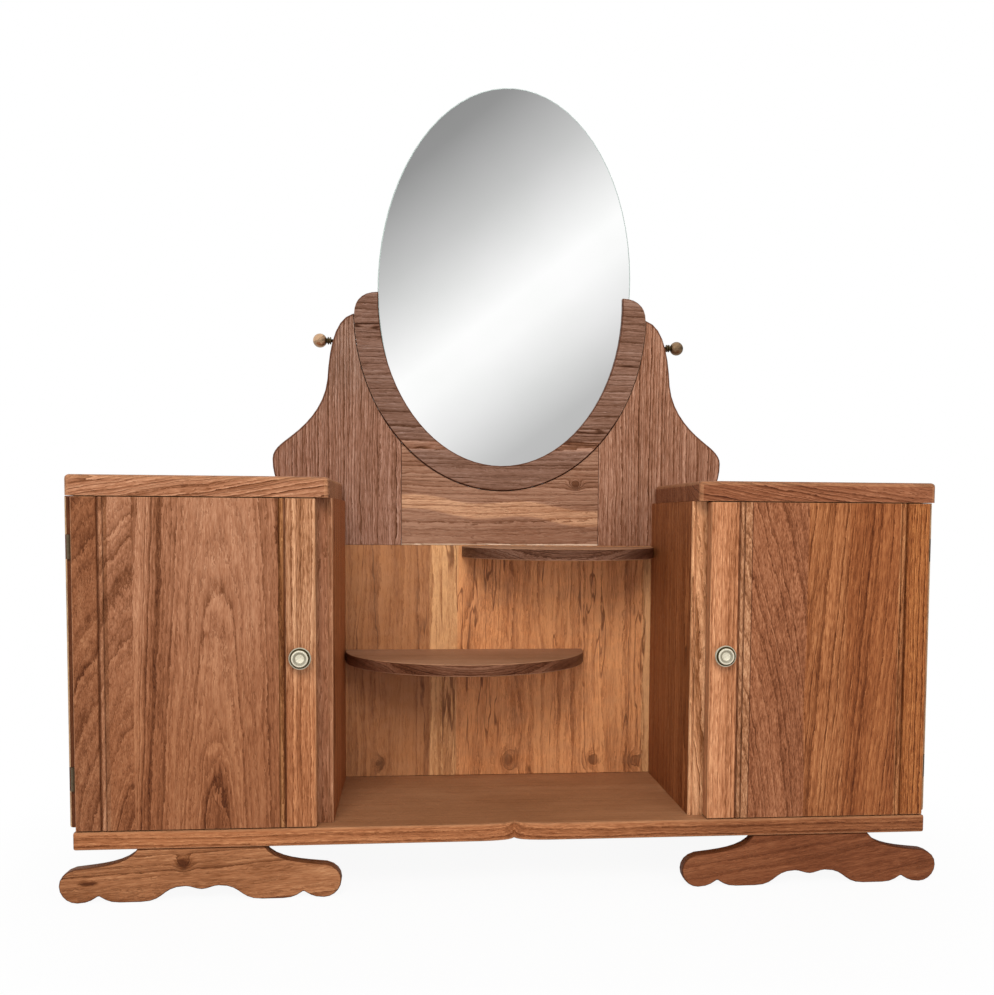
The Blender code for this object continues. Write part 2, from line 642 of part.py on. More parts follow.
def make_doors(root, oak, brass, iron):
    for name, side in SIDES:
        door = empty(f"{name}_door_axis", (side * HINGE_X, HINGE_Y, (DOOR_LOW + DOOR_HIGH) / 2), root)
        make_door_boards(name, side, door, oak)
        for level, middle in hinge_levels():
            make_hinge(name, level, middle, side, root, door, iron)
        make_knob(name, side, door, brass)
        make_catch(name, side, root, door, brass)


def cutout_oval():
    """Half width, half height and centre height of the hollow in the mirror board."""
    return RIM_HALF + TILT_GAP, RIM_Z - CUTOUT_LOW, RIM_Z


def wing_outline():
    """Right wing: foot behind the inner side, ledge behind the top, lobed tip, waist, shoulder, hollow."""
    half_width, half_height, centre_z = cutout_oval()
    joint_x = BOARD_JOINT_X + FIT_GAP / 2
    foot_x = BAY_INNER_X
    ledge = TOP_FACE_Z - WING_LEDGE_DROP
    tip = (WING_SPAN, TOP_FACE_Z + WING_TIP_RISE)
    shoulder_z = PIVOT_Z + WING_TOP_RISE
    shoulder_angle = angle_at_z(shoulder_z, centre_z, half_height)
    shoulder = (half_width * math.cos(shoulder_angle), shoulder_z)
    pivot_angle = angle_at_z(PIVOT_Z, centre_z, half_height)
    outer_x = half_width * math.cos(pivot_angle) + WING_WIDTH
    waist = (outer_x + WING_NECK_WIDTH - WING_WIDTH, PIVOT_Z - WING_NECK_DROP)
    reach = WING_SPAN - waist[0]
    drop = waist[1] - tip[1]
    sweep = (WING_SPAN - 0.36 * reach, tip[1] + 0.30 * drop)
    lobe = (WING_SPAN - 0.45 * reach, ledge)
    outline = [(joint_x, BOARD_Z), (foot_x, BOARD_Z), (foot_x, ledge), lobe]
    outline += bezier([lobe, (WING_SPAN - 0.12 * reach, ledge), (WING_SPAN, tip[1] - 0.24 * drop), tip])
    arrive = (sweep[0] + 0.16 * reach, sweep[1] - 0.09 * drop)
    outline += bezier([tip, (WING_SPAN, tip[1] + 0.13 * drop), arrive, sweep])
    leave = (sweep[0] - 0.28 * reach, sweep[1] + 0.15 * drop)
    outline += bezier([sweep, leave, (waist[0] + 0.05 * reach, waist[1] - 0.32 * drop), waist])
    rise = shoulder_z - waist[1]
    leave = (waist[0] - 0.035 * reach, waist[1] + 0.48 * rise)
    arrive = (shoulder[0] + 0.34 * reach, shoulder_z - 0.08 * rise)
    outline += bezier([waist, leave, arrive, shoulder])
    joint_angle = angle_at_x(joint_x, half_width)
    hollow = arc((0.0, centre_z), half_width, half_height, shoulder_angle, joint_angle, 16)
    return outline + hollow[1:]


def make_mirror_board(root, oak):
    half_width, half_height, centre_z = cutout_oval()
    depth = (BOARD_FRONT, BOARD_BACK)
    joint_x = BOARD_JOINT_X - FIT_GAP / 2
    start = angle_at_x(joint_x, half_width)
    hollow = arc((0.0, centre_z), half_width, half_height, start, -math.pi - start, 20)
    prism("mirror_board_centre", [(-joint_x, BOARD_Z), (joint_x, BOARD_Z)] + hollow, "Y", depth, oak, root)
    for name, side in SIDES:
        wing = prism(f"mirror_board_{name}_wing", mirrored(wing_outline(), side), "Y", depth, oak, root)
        bore = stretch(side, RIM_HALF / 2, WING_SPAN)
        radius = SCREW_RADIUS + RUNNING_GAP
        hole = rod(f"cut_{name}_wing_bore", (PIVOT_Y, PIVOT_Z), radius, "X", bore, None, root)
        combine(wing, hole, "DIFFERENCE")
    batten_low = BOARD_Z + BOARD_BATTEN_RISE
    batten_x = (-BOARD_BATTEN_HALF, BOARD_BATTEN_HALF)
    batten_y = (BOARD_BACK + FIT_GAP, BASE_DEPTH)
    batten_z = (batten_low, batten_low + BOARD_BATTEN_HEIGHT)
    board("mirror_board_batten", batten_x, batten_y, batten_z, oak, root)


def crescent_outline():
    """Right tip, down the sight edge to the left tip, and back round the outer edge."""
    sight_height = SIGHT_Z - SIGHT_LOW
    rim_height = RIM_Z - RIM_LOW
    tip_z = PIVOT_Z + TIP_RISE
    sight_angle = angle_at_z(tip_z, SIGHT_Z, sight_height)
    rim_angle = angle_at_z(tip_z - TIP_SHOULDER, RIM_Z, rim_height)
    sight = arc((0.0, SIGHT_Z), SIGHT_HALF, sight_height, sight_angle, -math.pi - sight_angle, 44)
    rim = arc((0.0, RIM_Z), RIM_HALF, rim_height, -math.pi - rim_angle, rim_angle, 48)
    inner_x, outer_x = sight[0][0], rim[-1][0]
    width = outer_x - inner_x
    near = (inner_x + 0.64 * width, tip_z)
    far = (outer_x, tip_z - 0.35 * TIP_SHOULDER)
    right_tip = bezier([rim[-1], far, near, sight[0]])
    left_tip = [(-x, z) for x, z in reversed(right_tip[:-1])]
    return sight + left_tip + rim + right_tip[:-1]


def make_mirror(root, oak, glass, plywood):
    mirror = empty("mirror_tilt_axis", (0.0, PIVOT_Y, PIVOT_Z), root)
    rear = CRESCENT_FRONT + CRESCENT_THICK
    crescent = prism("mirror_crescent", crescent_outline(), "Y", (CRESCENT_FRONT, rear), oak, mirror)
    rebate_y = (CRESCENT_FRONT + LIP_THICK, rear + EASED_EDGE)
    rebate = prism("cut_glass_rebate", glass_oval(FIT_GAP), "Y", rebate_y, None, mirror)
    combine(crescent, rebate, "DIFFERENCE")
    pivot_angle = angle_at_z(PIVOT_Z, RIM_Z, RIM_Z - RIM_LOW)
    rim_x = RIM_HALF * math.cos(pivot_angle)
    for name, side in SIDES:
        bore = stretch(side, rim_x - SCREW_DEPTH - FIT_GAP, RIM_HALF + EASED_EDGE)
        radius = SCREW_RADIUS + RUNNING_GAP
        hole = rod(f"cut_{name}_rim_bore", (PIVOT_Y, PIVOT_Z), radius, "X", bore, None, mirror)
        combine(crescent, hole, "DIFFERENCE")
    glass_y = (GLASS_FRONT, GLASS_FRONT + GLASS_THICK)
    plate = prism("mirror_glass", glass_oval(0.0), "Y", glass_y, glass, mirror)
    round_edges(plate, GLASS_BEVEL, 1)
    backing_front = glass_y[1] + FIT_GAP
    backing_y = (backing_front, backing_front + BACKING_THICK)
    prism("mirror_backing", glass_oval(-BACKING_INSET), "Y", backing_y, plywood, mirror)
    return rim_x


def make_tilt_screws(root, brass, rim_x):
    """Ball-ended screws through the wings' edges into the crescent; each has its origin on the tilt axis."""
    half_width, half_height, centre_z = cutout_oval()
    wing_edge = half_width * math.cos(angle_at_z(PIVOT_Z, centre_z, half_height)) + WING_WIDTH
    ball_x = wing_edge + FIT_GAP + SCREW_NECK + BALL_RADIUS
    profile = []
    for x, z in arc((0.0, 0.0), BALL_RADIUS, BALL_RADIUS, math.pi / 2, -math.radians(62), 8):
        profile.append((max(x, 0.0) if z < BALL_RADIUS else 0.0, z))
    collar_top = wing_edge + FIT_GAP + COLLAR_LENGTH - ball_x
    profile += [(SCREW_RADIUS, -BALL_RADIUS - 0.0005), (SCREW_RADIUS, collar_top)]
    profile += [(COLLAR_RADIUS, collar_top), (COLLAR_RADIUS, collar_top - COLLAR_LENGTH)]
    tail = rim_x - SCREW_DEPTH - ball_x
    profile += [(SCREW_RADIUS, collar_top - COLLAR_LENGTH), (SCREW_RADIUS, tail), (0.0, tail)]
    for name, side in SIDES:
        outwards = (0, math.radians(90) * side, 0)
        turned(f"{name}_tilt_screw", profile, (side * ball_x, PIVOT_Y, PIVOT_Z), outwards, brass, root)


def main():
    clear_scene()
    root = empty("dressing_table", (0.0, -MIDDLE_Y, 0.0))
    oak = finish("waxed_oak", (0.30, 0.12, 0.05), 0.45)
    board_oak = finish("greyed_oak", (0.22, 0.11, 0.07), 0.55)
    inner_wood = finish("plain_inner_wood", (0.33, 0.19, 0.10), 0.65)
    brass = finish("aged_brass", (0.42, 0.33, 0.17), 0.35, 1.0)
    iron = finish("dark_iron", (0.06, 0.05, 0.045), 0.5, 1.0)
    silvered = finish("silvered_glass", (0.85, 0.86, 0.87), 0.03, 1.0)
    make_base(root, oak)
    make_feet(root, oak)
    make_cabinets(root, oak, inner_wood)
    make_niche(root, oak)
    make_doors(root, oak, brass, iron)
    make_mirror_board(root, board_oak)
    rim_x = make_mirror(root, board_oak, silvered, inner_wood)
    make_tilt_screws(root, brass, rim_x)
    bpy.context.view_layer.update()


main()
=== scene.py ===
"""Oak dressing table with a tilting oval mirror: finished pieces, materials and studio round its part."""

import functools
import json
import math

import bmesh
import bpy
from mathutils import Matrix, Vector

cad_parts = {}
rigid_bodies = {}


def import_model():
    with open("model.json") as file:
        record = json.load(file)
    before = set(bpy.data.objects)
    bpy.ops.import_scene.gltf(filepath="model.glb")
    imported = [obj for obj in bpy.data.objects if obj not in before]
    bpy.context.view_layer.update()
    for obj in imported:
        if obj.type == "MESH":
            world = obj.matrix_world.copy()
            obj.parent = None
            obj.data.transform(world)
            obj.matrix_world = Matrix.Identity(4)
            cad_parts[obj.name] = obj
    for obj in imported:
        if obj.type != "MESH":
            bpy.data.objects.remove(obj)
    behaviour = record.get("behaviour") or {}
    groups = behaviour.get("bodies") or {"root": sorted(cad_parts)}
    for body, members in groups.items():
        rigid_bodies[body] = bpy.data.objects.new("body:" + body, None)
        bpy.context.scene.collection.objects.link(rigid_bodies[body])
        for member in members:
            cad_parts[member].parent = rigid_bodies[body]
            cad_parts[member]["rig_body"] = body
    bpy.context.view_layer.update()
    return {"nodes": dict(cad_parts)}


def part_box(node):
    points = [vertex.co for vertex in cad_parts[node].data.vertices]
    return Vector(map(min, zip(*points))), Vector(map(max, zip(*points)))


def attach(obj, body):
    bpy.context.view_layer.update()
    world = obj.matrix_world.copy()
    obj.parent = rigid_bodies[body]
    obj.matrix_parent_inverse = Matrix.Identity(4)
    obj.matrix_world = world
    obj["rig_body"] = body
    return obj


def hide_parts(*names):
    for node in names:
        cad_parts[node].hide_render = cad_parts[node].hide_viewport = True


bl_info = {
    "name": "Dressing Table",
    "version": (1, 0, 0),
    "blender": (4, 5, 0),
    "location": "3D View > Sidebar > Dressing Table",
    "description": "Builds the finished pieces of an oak dressing table round its packed part",
    "category": "Object",
}

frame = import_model()

SIDES = {"left": -1, "right": 1}
AXES = {"X": Vector((1, 0, 0)), "Y": Vector((0, 1, 0)), "Z": Vector((0, 0, 1))}
SHARP = math.radians(40)
SOFT = math.radians(52)
# The mirror board's hollow is an oval whose centre lies this far below the glass's
HOLLOW_DROP = 0.041

# Two places are the same within this, and one is clearly past another beyond this, in metres
NEAR = 1e-5
CLEAR = 0.001
# Roundings that are too fine to be sizes of their own, in metres
LEAF_EASE = 0.00025
SMALL_EASE = 0.0004
KNOB_EASE = 0.0006
BACKING_EASE = 0.0006
PANEL_EASE = 0.0008
END_EASE = 0.0009
NICHE_EASE = 0.0010
# A slotted screw's head: its depth, how far its middle is sunk, its slot's half width in head radii and
# depth, its rim's height and its rounding
SCREW_DEPTH = 0.0016
SCREW_SUNK = 0.0003
SLOT_SHARE = 0.13
SLOT_DEPTH = 0.0008
SCREW_RIM = 0.0007
SCREW_EASE = 0.0003

# Camera, solved from the straight edges of the table
CAMERA_PLACE = Vector((-0.1283, -1.5418, 0.4871))
CAMERA_YAW = 0.1014
CAMERA_PITCH = -0.0615
CAMERA_ROLL = 0.0072
CAMERA_LENS = 39.84
CAMERA_SHIFT = (-0.0306, 0.0884)


def linear(text):
    """An sRGB hex colour as linear red, green and blue."""
    channels = []
    for start in (1, 3, 5):
        value = int(text[start : start + 2], 16) / 255
        channels.append(value / 12.92 if value <= 0.04045 else ((value + 0.055) / 1.055) ** 2.4)
    return tuple(channels)


def colour_property(name, description, text):
    return bpy.props.FloatVectorProperty(
        name=name, description=description, subtype="COLOR", size=3, min=0.0, max=1.0, default=linear(text)
    )


def length_property(name, description, metres):
    return bpy.props.FloatProperty(
        name=name, description=description, unit="LENGTH", min=0.0, precision=4, default=metres
    )


class DressingTableSizes(bpy.types.PropertyGroup):
    """Sizes of the finishing work that the hand feels more than the rule does."""

    arris: length_property("Arris", "Rounding of a board's worn edge", 0.0014)
    top_edge: length_property("Top edge", "Rounding of the cabinet tops' upper edges", 0.0052)
    top_corner: length_property("Top corner", "Rounding of the cabinet tops' rear inner corner", 0.009)
    side_corner: length_property("Side corner", "Rounding of the outer sides' bottom corner", 0.0045)
    side_front: length_property("Side front", "Rounding of the outer sides' front edge", 0.003)
    bead: length_property("Bead", "Radius of the bead on the inner sides' front edge", 0.0026)
    quirk: length_property("Quirk", "Width of the groove beside that bead", 0.0013)
    dark_edge: length_property("Dark edge", "Width of the wings' rounded and darkened edge", 0.0028)
    crown: length_property("Crown", "Swelling of the edges along the mirror's hollow", 0.00062)
    screw_head: length_property("Screw head", "Radius of the slotted screw heads", 0.0036)


class DressingTableColours(bpy.types.PropertyGroup):
    """Colours of the finishes that aren't a board's own tint."""

    # This colour also paints shade on the feet, the outer sides' fronts, the wings' outlines and the
    # crescent's rims
    wax_and_shade: colour_property("Wax", "Old wax in the quirks and along the shaped edges", "#54280f")
    inner: colour_property("Inner wood", "Plain wood inside the cabinets", "#b98a5c")
    brass: colour_property("Brass", "Aged brass of the knobs and catches", "#fff6dc")
    patina: colour_property("Patina", "Brown film in the hollows of the brass", "#4a4022")
    copper: colour_property("Ball ends", "Coppery brass of the tilt screws' balls", "#f2c49c")
    iron: colour_property("Iron", "Browned iron of the hinges", "#8a7862")
    glass_edge: colour_property("Glass edge", "Green cast of the glass's ground edge", "#8fa79c")
    floor: colour_property("Floor", "Studio floor", "#fafafa")


def fill(node, inputs):
    """Sets a node's inputs, by number or by name, to values, hex colours or other nodes' outputs."""
    pairs = inputs.items() if isinstance(inputs, dict) else enumerate(inputs)
    for key, value in pairs:
        if isinstance(value, bpy.types.NodeSocket):
            node.id_data.links.new(value, node.inputs[key])
        else:
            node.inputs[key].default_value = (*linear(value), 1.0) if isinstance(value, str) else value


def add_node(tree, kind, inputs=(), operation=None, out=0, stops=(), **settings):
    """Adds a node with its settings and ramp stops, fills its inputs, and gives back one output."""
    made = tree.nodes.new("ShaderNode" + kind)
    if operation:
        made.operation = operation
    for key, value in settings.items():
        setattr(made, key, value)
    fill(made, inputs)
    if stops:
        ramp = made.color_ramp.elements
        while len(ramp) < len(stops):
            ramp.new(0.5)
        for element, (place, text) in zip(ramp, stops):
            element.position = place
            element.color = (*linear(text), 1.0)
    return made.outputs[out]


def new_material(name):
    """A material, a function that adds nodes to it, and its shader."""
    material = bpy.data.materials.new(name)
    material.use_nodes = True
    tree = material.node_tree
    return material, functools.partial(add_node, tree), tree.nodes["Principled BSDF"]


# A mix node's colours are its inputs 6 and 7 and its output 2
COLOUR_MIX = dict(out=2, data_type="RGBA")

# One year from its dark early pores to its pale late wood, and the grey that leaves the board's own tone
LINE_STOPS = ((0.0, "#ffffff"), (0.12, "#f4f4f4"), (0.25, "#c2c2c2"), (0.46, "#a2a2a2"))
LINE_STOPS += ((0.72, "#989898"), (0.88, "#424242"), (1.0, "#303030"))
LINE_MIDDLE = 0.36
PORE_STOPS = ((0.50, "#000000"), (0.62, "#ffffff"))
WOOD_STOPS = ((0.0, "#6c5038"), (0.3, "#9c846e"), (0.62, "#cbbbaf"), (1.0, "#f3f3f1"))

# How far bands, jags and chips push a line, in years; a band lasts about three years
SQUEEZE = 2.2
JAG_PUSH = 0.45
CHIP_PUSH = 0.30
BANDS_PER_YEAR = 0.33
# Hair lines within a year, and their strength
HAIRS_PER_YEAR = 2.6
HAIRS = 0.40
# The wax's sheen and roughness, how much rougher the pores are, and the depth of furrows and pores in metres
WAX_SHEEN = 0.2
WAX_ROUGHNESS = 0.46
PORE_ROUGHNESS = 0.25
FURROW_DEPTH = 0.0012
# A pale band's edge: how far it frays, where that leaves the edge, and the length of its waves, in metres
FRAY = 0.016
FRAY_START = 0.007
FRAY_END = 0.010
WAVE_LENGTH = 0.164

# Noises of the grain: straight log or bent one, stretch along the grain, scale per metre, detail, roughness.
# Pores are under 0.3 mm wide, drawn about 1 mm wide and 12 mm long so that they show in the picture.
# Jags and chips break the year lines, streaks are about 10 mm wide and blotches as large as a hand.
GRAIN_NOISES = {
    "pore": ("log", 0.08, 900.0, 1.5, 0.5),
    "jag": ("log", 0.08, 240.0, 3.0, 0.7),
    "chip": ("log", 0.26, 420.0, 2.0, 0.6),
    "streak": ("bent", 0.03, 100.0, 4.0, 0.65),
    "blotch": ("log", 0.4, 14.0, 2.0, 0.5),
    "shake": ("bent", 0.05, 30.0, 3.0, 0.5),
    "fray": ("bent", 0.03, 30.0, 3.0, 0.5),
}

# A plain board's figure: lengths in metres, angles in degrees, and strengths from 0 up
PLAIN_FIGURE = dict(
    face="Y",
    grain="Z",
    pith=(0.02, 0.05),
    lean=(0.0, 0.0),
    rings=0.006,
    wander=0.026,
    lines=0.92,
    pores=0.25,
    fibres=1.0,
    bands=0.50,
    streaks=0.50,
    blotches=0.35,
    shade=0.62,
    cracks=0.0,
    core=0.35,
    knots=(),
    stripes=(),
    stripe_tint=None,
    sway=None,
    strips=(),
    fade=None,
    # The arrises' tint and how much of it shows: rubbed wear and painted highlight, and painted shade where
    # the tint is dark
    worn="#c08a62",
    wear=0.35,
    second=None,
    seed=0.0,
)


def knotted(add, figure, across, along, reach):
    """Swells the years round each knot, and tells how near a place is to one."""
    near = 0.0
    for knot_across, knot_along, width, length, lift in figure["knots"]:
        side = add("Math", [across, knot_across], "SUBTRACT")
        side = add("Math", [side, width], "DIVIDE")
        up = add("Math", [along, knot_along], "SUBTRACT")
        up = add("Math", [up, length], "DIVIDE")
        square = add("Math", [side, side], "MULTIPLY")
        square = add("Math", [up, up, square], "MULTIPLY_ADD")
        fall = add("Math", [square, -1.0], "MULTIPLY")
        swell = add("Math", [math.e, fall], "POWER")
        reach = add("Math", [swell, lift, reach], "MULTIPLY_ADD")
        near = add("Math", [swell, near], "MAXIMUM")
    return reach, near


def ground_tone(add, figure, across, along, beyond, fray):
    """A board's tone under its figure: a second glued board, a slow fade, pale bands, and painted highlights
    and painted shade along beads and edges.
    """
    ground = figure["tint"]
    if figure["second"] and "tint" in figure["second"]:
        ground = add("Mix", {0: beyond, 6: ground, 7: figure["second"]["tint"]}, **COLOUR_MIX)
    if figure["fade"]:
        other, start, end = figure["fade"]
        level = add("MapRange", [along, start, end], interpolation_type="SMOOTHSTEP")
        ground = add("Mix", {0: level, 6: ground, 7: other}, **COLOUR_MIX)
    if figure["stripes"]:
        edge = add("Math", [fray, FRAY, across], "MULTIPLY_ADD")
        if figure["sway"]:
            slope, wave = figure["sway"]
            bend = add("Math", [along, 2 * math.pi / WAVE_LENGTH], "MULTIPLY")
            bend = add("Math", [bend], "SINE")
            edge = add("Math", [bend, wave, edge], "MULTIPLY_ADD")
            edge = add("Math", [along, -slope, edge], "MULTIPLY_ADD")
        for start, end in figure["stripes"]:
            inside = add("MapRange", [edge, start + FRAY_START, start + FRAY_END])
            after = add("MapRange", [edge, end + FRAY_START, end + FRAY_END, 1.0, 0.0])
            inside = add("Math", [inside, after], "MULTIPLY")
            ground = add("Mix", {0: inside, 6: ground, 7: figure["stripe_tint"]}, **COLOUR_MIX)
    # Painted highlights on beads and edges, and painted shade in a quirk
    for middle, half_width, painted_light_tint in figure["strips"]:
        inside = add("Math", [across, middle, half_width], "COMPARE")
        ground = add("Mix", {0: inside, 6: ground, 7: painted_light_tint}, **COLOUR_MIX)
    return ground


def oak(name, node_name, **changes):
    """Open-grained oak, sawn from old beams, planed and waxed.

    The eye sees year rings as broken dark lines between lighter and darker bands, short dark pores along the
    grain, slow streaks of redder wood, and a soft waxed sheen that is duller in the pores. Rounded arrises
    turn paler and marked faces dark brown, partly rubbed wear and old waxing and partly painted highlight and
    shade.
    """
    figure = {**PLAIN_FIGURE, **changes}
    low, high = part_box(node_name)
    centre = (low + high) / 2
    face = AXES[figure["face"]]
    grain = AXES[figure["grain"]]
    turn = Matrix((face.cross(grain), face, grain))
    material, add, shader = new_material(name)
    place = add("TexCoord", out="Object")
    sawn = add("Mapping", [place, -(turn @ centre), turn.to_euler()])
    across = add("SeparateXYZ", [sawn], out="X")
    along = add("SeparateXYZ", [sawn], out="Z")
    boards = [figure]
    if figure["second"]:
        boards.append({**figure, **figure["second"]})
    logs = []
    for sort in boards:
        offset = (-sort["pith"][0], -sort["pith"][1], figure["seed"])
        lean = (math.radians(sort["lean"][0]), math.radians(sort["lean"][1]), 0.0)
        logs.append(add("Mapping", [sawn, offset, lean]))
    log = logs[0]
    density = 1.0 / figure["rings"]
    weights = {key: figure[key] for key in ("lines", "bands")}
    beyond = None
    if figure["second"]:
        beyond = add("Math", [across, figure["second"]["seam"]], "GREATER_THAN")
        log = add("Mix", {0: beyond, 4: logs[0], 5: logs[1]}, out=1, data_type="VECTOR")
        density = add("Mix", {0: beyond, 2: density, 3: 1.0 / boards[1]["rings"]})
        for key in weights:
            weights[key] = add("Mix", {0: beyond, 2: figure[key], 3: boards[1][key]})

    # The log's slow wander, about 150 mm across and 600 mm along the grain
    slow = add("Mapping", {0: log, 3: (1.0, 1.0, 0.22)})
    drift = add("TexNoise", {"Vector": slow, "Scale": 7.0, "Detail": 5.0, "Roughness": 0.64}, out=1)
    wander = figure["wander"]
    bent = add("VectorMath", [drift, (wander, wander, 0.0), log], "MULTIPLY_ADD")
    bent = add("VectorMath", [bent, (-0.5 * wander, -0.5 * wander, 0.0)], "ADD")
    section = add("VectorMath", [bent, (1.0, 1.0, 0.0)], "MULTIPLY")
    reach = add("VectorMath", [section], "LENGTH", out="Value")
    reach, core = knotted(add, figure, across, along, reach)
    noise = {}
    wanted = {"shake": figure["cracks"], "fray": figure["stripes"]}
    for key, (follows, stretch, scale, detail, rough) in GRAIN_NOISES.items():
        if wanted.get(key, True):
            drawn = add("Mapping", {0: bent if follows == "bent" else log, 3: (1.0, 1.0, stretch)})
            grit = {"Vector": drawn, "Scale": scale, "Detail": detail, "Roughness": rough}
            noise[key] = add("TexNoise", grit)

    # Years crowd together and draw apart, and brushing left their soft early wood as jagged furrows
    rings = add("Math", [reach, density], "MULTIPLY")
    slow_years = add("Math", [rings, BANDS_PER_YEAR, figure["seed"]], "MULTIPLY_ADD")
    band = add("TexNoise", {"W": slow_years, "Scale": 1.0, "Detail": 2.0}, noise_dimensions="1D")
    for part, push in ((band, SQUEEZE), (noise["jag"], JAG_PUSH), (noise["chip"], CHIP_PUSH)):
        rings = add("Math", [part, push, rings], "MULTIPLY_ADD")
    phase = add("Math", [rings], "FRACT")
    year = add("Math", [rings], "FLOOR")
    year = add("Math", [year, figure["seed"]], "ADD")
    chance = add("TexWhiteNoise", {"W": year}, noise_dimensions="1D")
    chance = add("Math", [chance, 0.75, 0.25], "MULTIPLY_ADD")
    depth = add("MapRange", [noise["chip"], 0.35, 0.55, 0.45, 1.0])
    chance = add("Math", [chance, depth], "MULTIPLY")
    hairs = add("Math", [rings, HAIRS_PER_YEAR], "MULTIPLY")
    hairs = add("Math", [noise["chip"], 0.5, hairs], "MULTIPLY_ADD")
    hairs = add("Math", [hairs], "FRACT")
    strokes = []
    for cycle, level in ((phase, chance), (hairs, depth)):
        stroke = add("ValToRGB", [cycle], stops=LINE_STOPS)
        stroke = add("Math", [stroke, LINE_MIDDLE], "SUBTRACT")
        strokes.append(add("Math", [stroke, level], "MULTIPLY"))
    line = add("Math", [strokes[1], HAIRS, strokes[0]], "MULTIPLY_ADD")
    pores = add("ValToRGB", [noise["pore"]], stops=PORE_STOPS)
    crowd = add("Math", [line, 1.6, 0.30], "MULTIPLY_ADD", use_clamp=True)
    pores = add("Math", [pores, crowd], "MULTIPLY")

    # Streaks, blotches, bands of a few years and fibres shade the board; lines, pores and knots darken it
    toned = (
        (noise["streak"], figure["streaks"]),
        (noise["blotch"], figure["blotches"]),
        (band, weights["bands"]),
        (noise["pore"], figure["fibres"]),
        (noise["jag"], 0.5 * figure["fibres"]),
    )
    shade = figure["shade"]
    for part, weight in toned:
        part = add("Math", [part, 0.5], "SUBTRACT")
        shade = add("Math", [part, weight, shade], "MULTIPLY_ADD")
    darker = [(line, weights["lines"]), (pores, figure["pores"]), (core, figure["core"])]
    if figure["cracks"]:
        # Contours of a long noise, broken by a short one: dry shakes about 1 mm wide that follow the grain
        crack = add("Math", [noise["shake"], 0.5], "SUBTRACT")
        crack = add("Math", [crack], "ABSOLUTE")
        crack = add("MapRange", [crack, 0.003, 0.010, 1.0, 0.0])
        broken = add("MapRange", [noise["blotch"], 0.44, 0.54])
        crack = add("Math", [crack, broken], "MULTIPLY")
        darker.append((crack, figure["cracks"]))
    for part, weight in darker:
        part = add("Math", [part, weight], "MULTIPLY")
        shade = add("Math", [shade, part], "SUBTRACT")
    wood = add("ValToRGB", [shade], stops=WOOD_STOPS)
    ground = ground_tone(add, figure, across, along, beyond, noise.get("fray"))
    colour = add("Mix", {0: 1.0, 6: ground, 7: wood}, blend_type="MULTIPLY", **COLOUR_MIX)

    # Arrises take their own tint: rubbed wear, with painted highlight where it is paler and painted shade
    # where it is darker
    worn = add("Attribute", out="Fac", attribute_name="arris")
    patchy_wear_and_light = add("TexNoise", {"Vector": place, "Scale": 60.0, "Detail": 3.0})
    patchy_wear_and_light = add("Math", [patchy_wear_and_light, 2.0 * figure["wear"]], "MULTIPLY")
    worn = add("Math", [worn, patchy_wear_and_light], "MULTIPLY", use_clamp=True)
    colour = add("Mix", {0: worn, 6: colour, 7: figure["worn"]}, **COLOUR_MIX)
    # Marked faces take the dark wax colour: old wax in quirks and joints, painted shade on shaded faces, rims
    # and outlines
    hollow = add("Attribute", out="Fac", attribute_name="hollow")
    wax_and_painted_shade = (*bpy.context.scene.dressing_table_colours.wax_and_shade, 1.0)
    colour = add("Mix", {0: hollow, 6: colour, 7: wax_and_painted_shade}, **COLOUR_MIX)
    dull = add("Math", [pores, PORE_ROUGHNESS, WAX_ROUGHNESS], "MULTIPLY_ADD")
    height = add("Math", [pores, line], "ADD", use_clamp=True)
    bump = add("Bump", {"Strength": 0.7, "Distance": FURROW_DEPTH, "Height": height}, invert=True)
    fill(shader, {"Base Color": colour, "Specular IOR Level": WAX_SHEEN, "Roughness": dull, "Normal": bump})
    return material


# Upper faces that years of dusting have worn smooth
CALM = dict(lines=0.10, pores=0.10, fibres=0.16, bands=0.15, streaks=0.15, blotches=0.5)

# Figures that several boards share
BASE = dict(grain="X", face="Z", pith=(-0.16, 0.03), rings=0.010, lines=0.6, seed=1.3)
FOOT = dict(grain="X", pith=(0.02, 0.03), rings=0.009, lines=0.45, blotches=0.6, core=0.8)
REAR_FOOT = dict(FOOT, tint="#a8734e")
TOP = dict(grain="X", face="Z", pith=(-0.13, 0.03), rings=0.006, wander=0.045)
SIDE = dict(face="X", pith=(0.10, 0.03))
# The outer sides' pale arris tint is a painted highlight on their rounded front edge
OUTER_SIDE = dict(SIDE, tint="#b97e59", worn="#c9a47c", wear=0.8)
POST = dict(pith=(0.05, 0.03), rings=0.0048)
SHELF = dict(CALM, tint="#d0a586", grain="X", face="Z", pith=(-0.1, 0.03), rings=0.007, wear=0.2)
SHELF_EDGE = dict(grain="X", pith=(0.15, 0.02), rings=0.004, blotches=0.9, wear=0.2)
FLAME = dict(lean=(16.0, 0.0), rings=0.012, wander=0.03, bands=0.4, lines=0.6)
FINE_FLAME = dict(FLAME, lean=(11.0, 0.0), rings=0.007, bands=0.3, fibres=1.5)
STILE = dict(rings=0.0055, lines=0.6, fibres=1.45)
# The mirror boards' dark arris tint is partly stain and partly painted shade
MIRROR_BOARD = dict(worn="#6b4a3a", wear=0.4)
WING = dict(MIRROR_BOARD, rings=0.0042, lines=0.9, fibres=1.4)
SOFTWOOD = dict(lines=0.18, pores=0.08, streaks=0.30, rings=0.009, wander=0.02, wear=0.1)
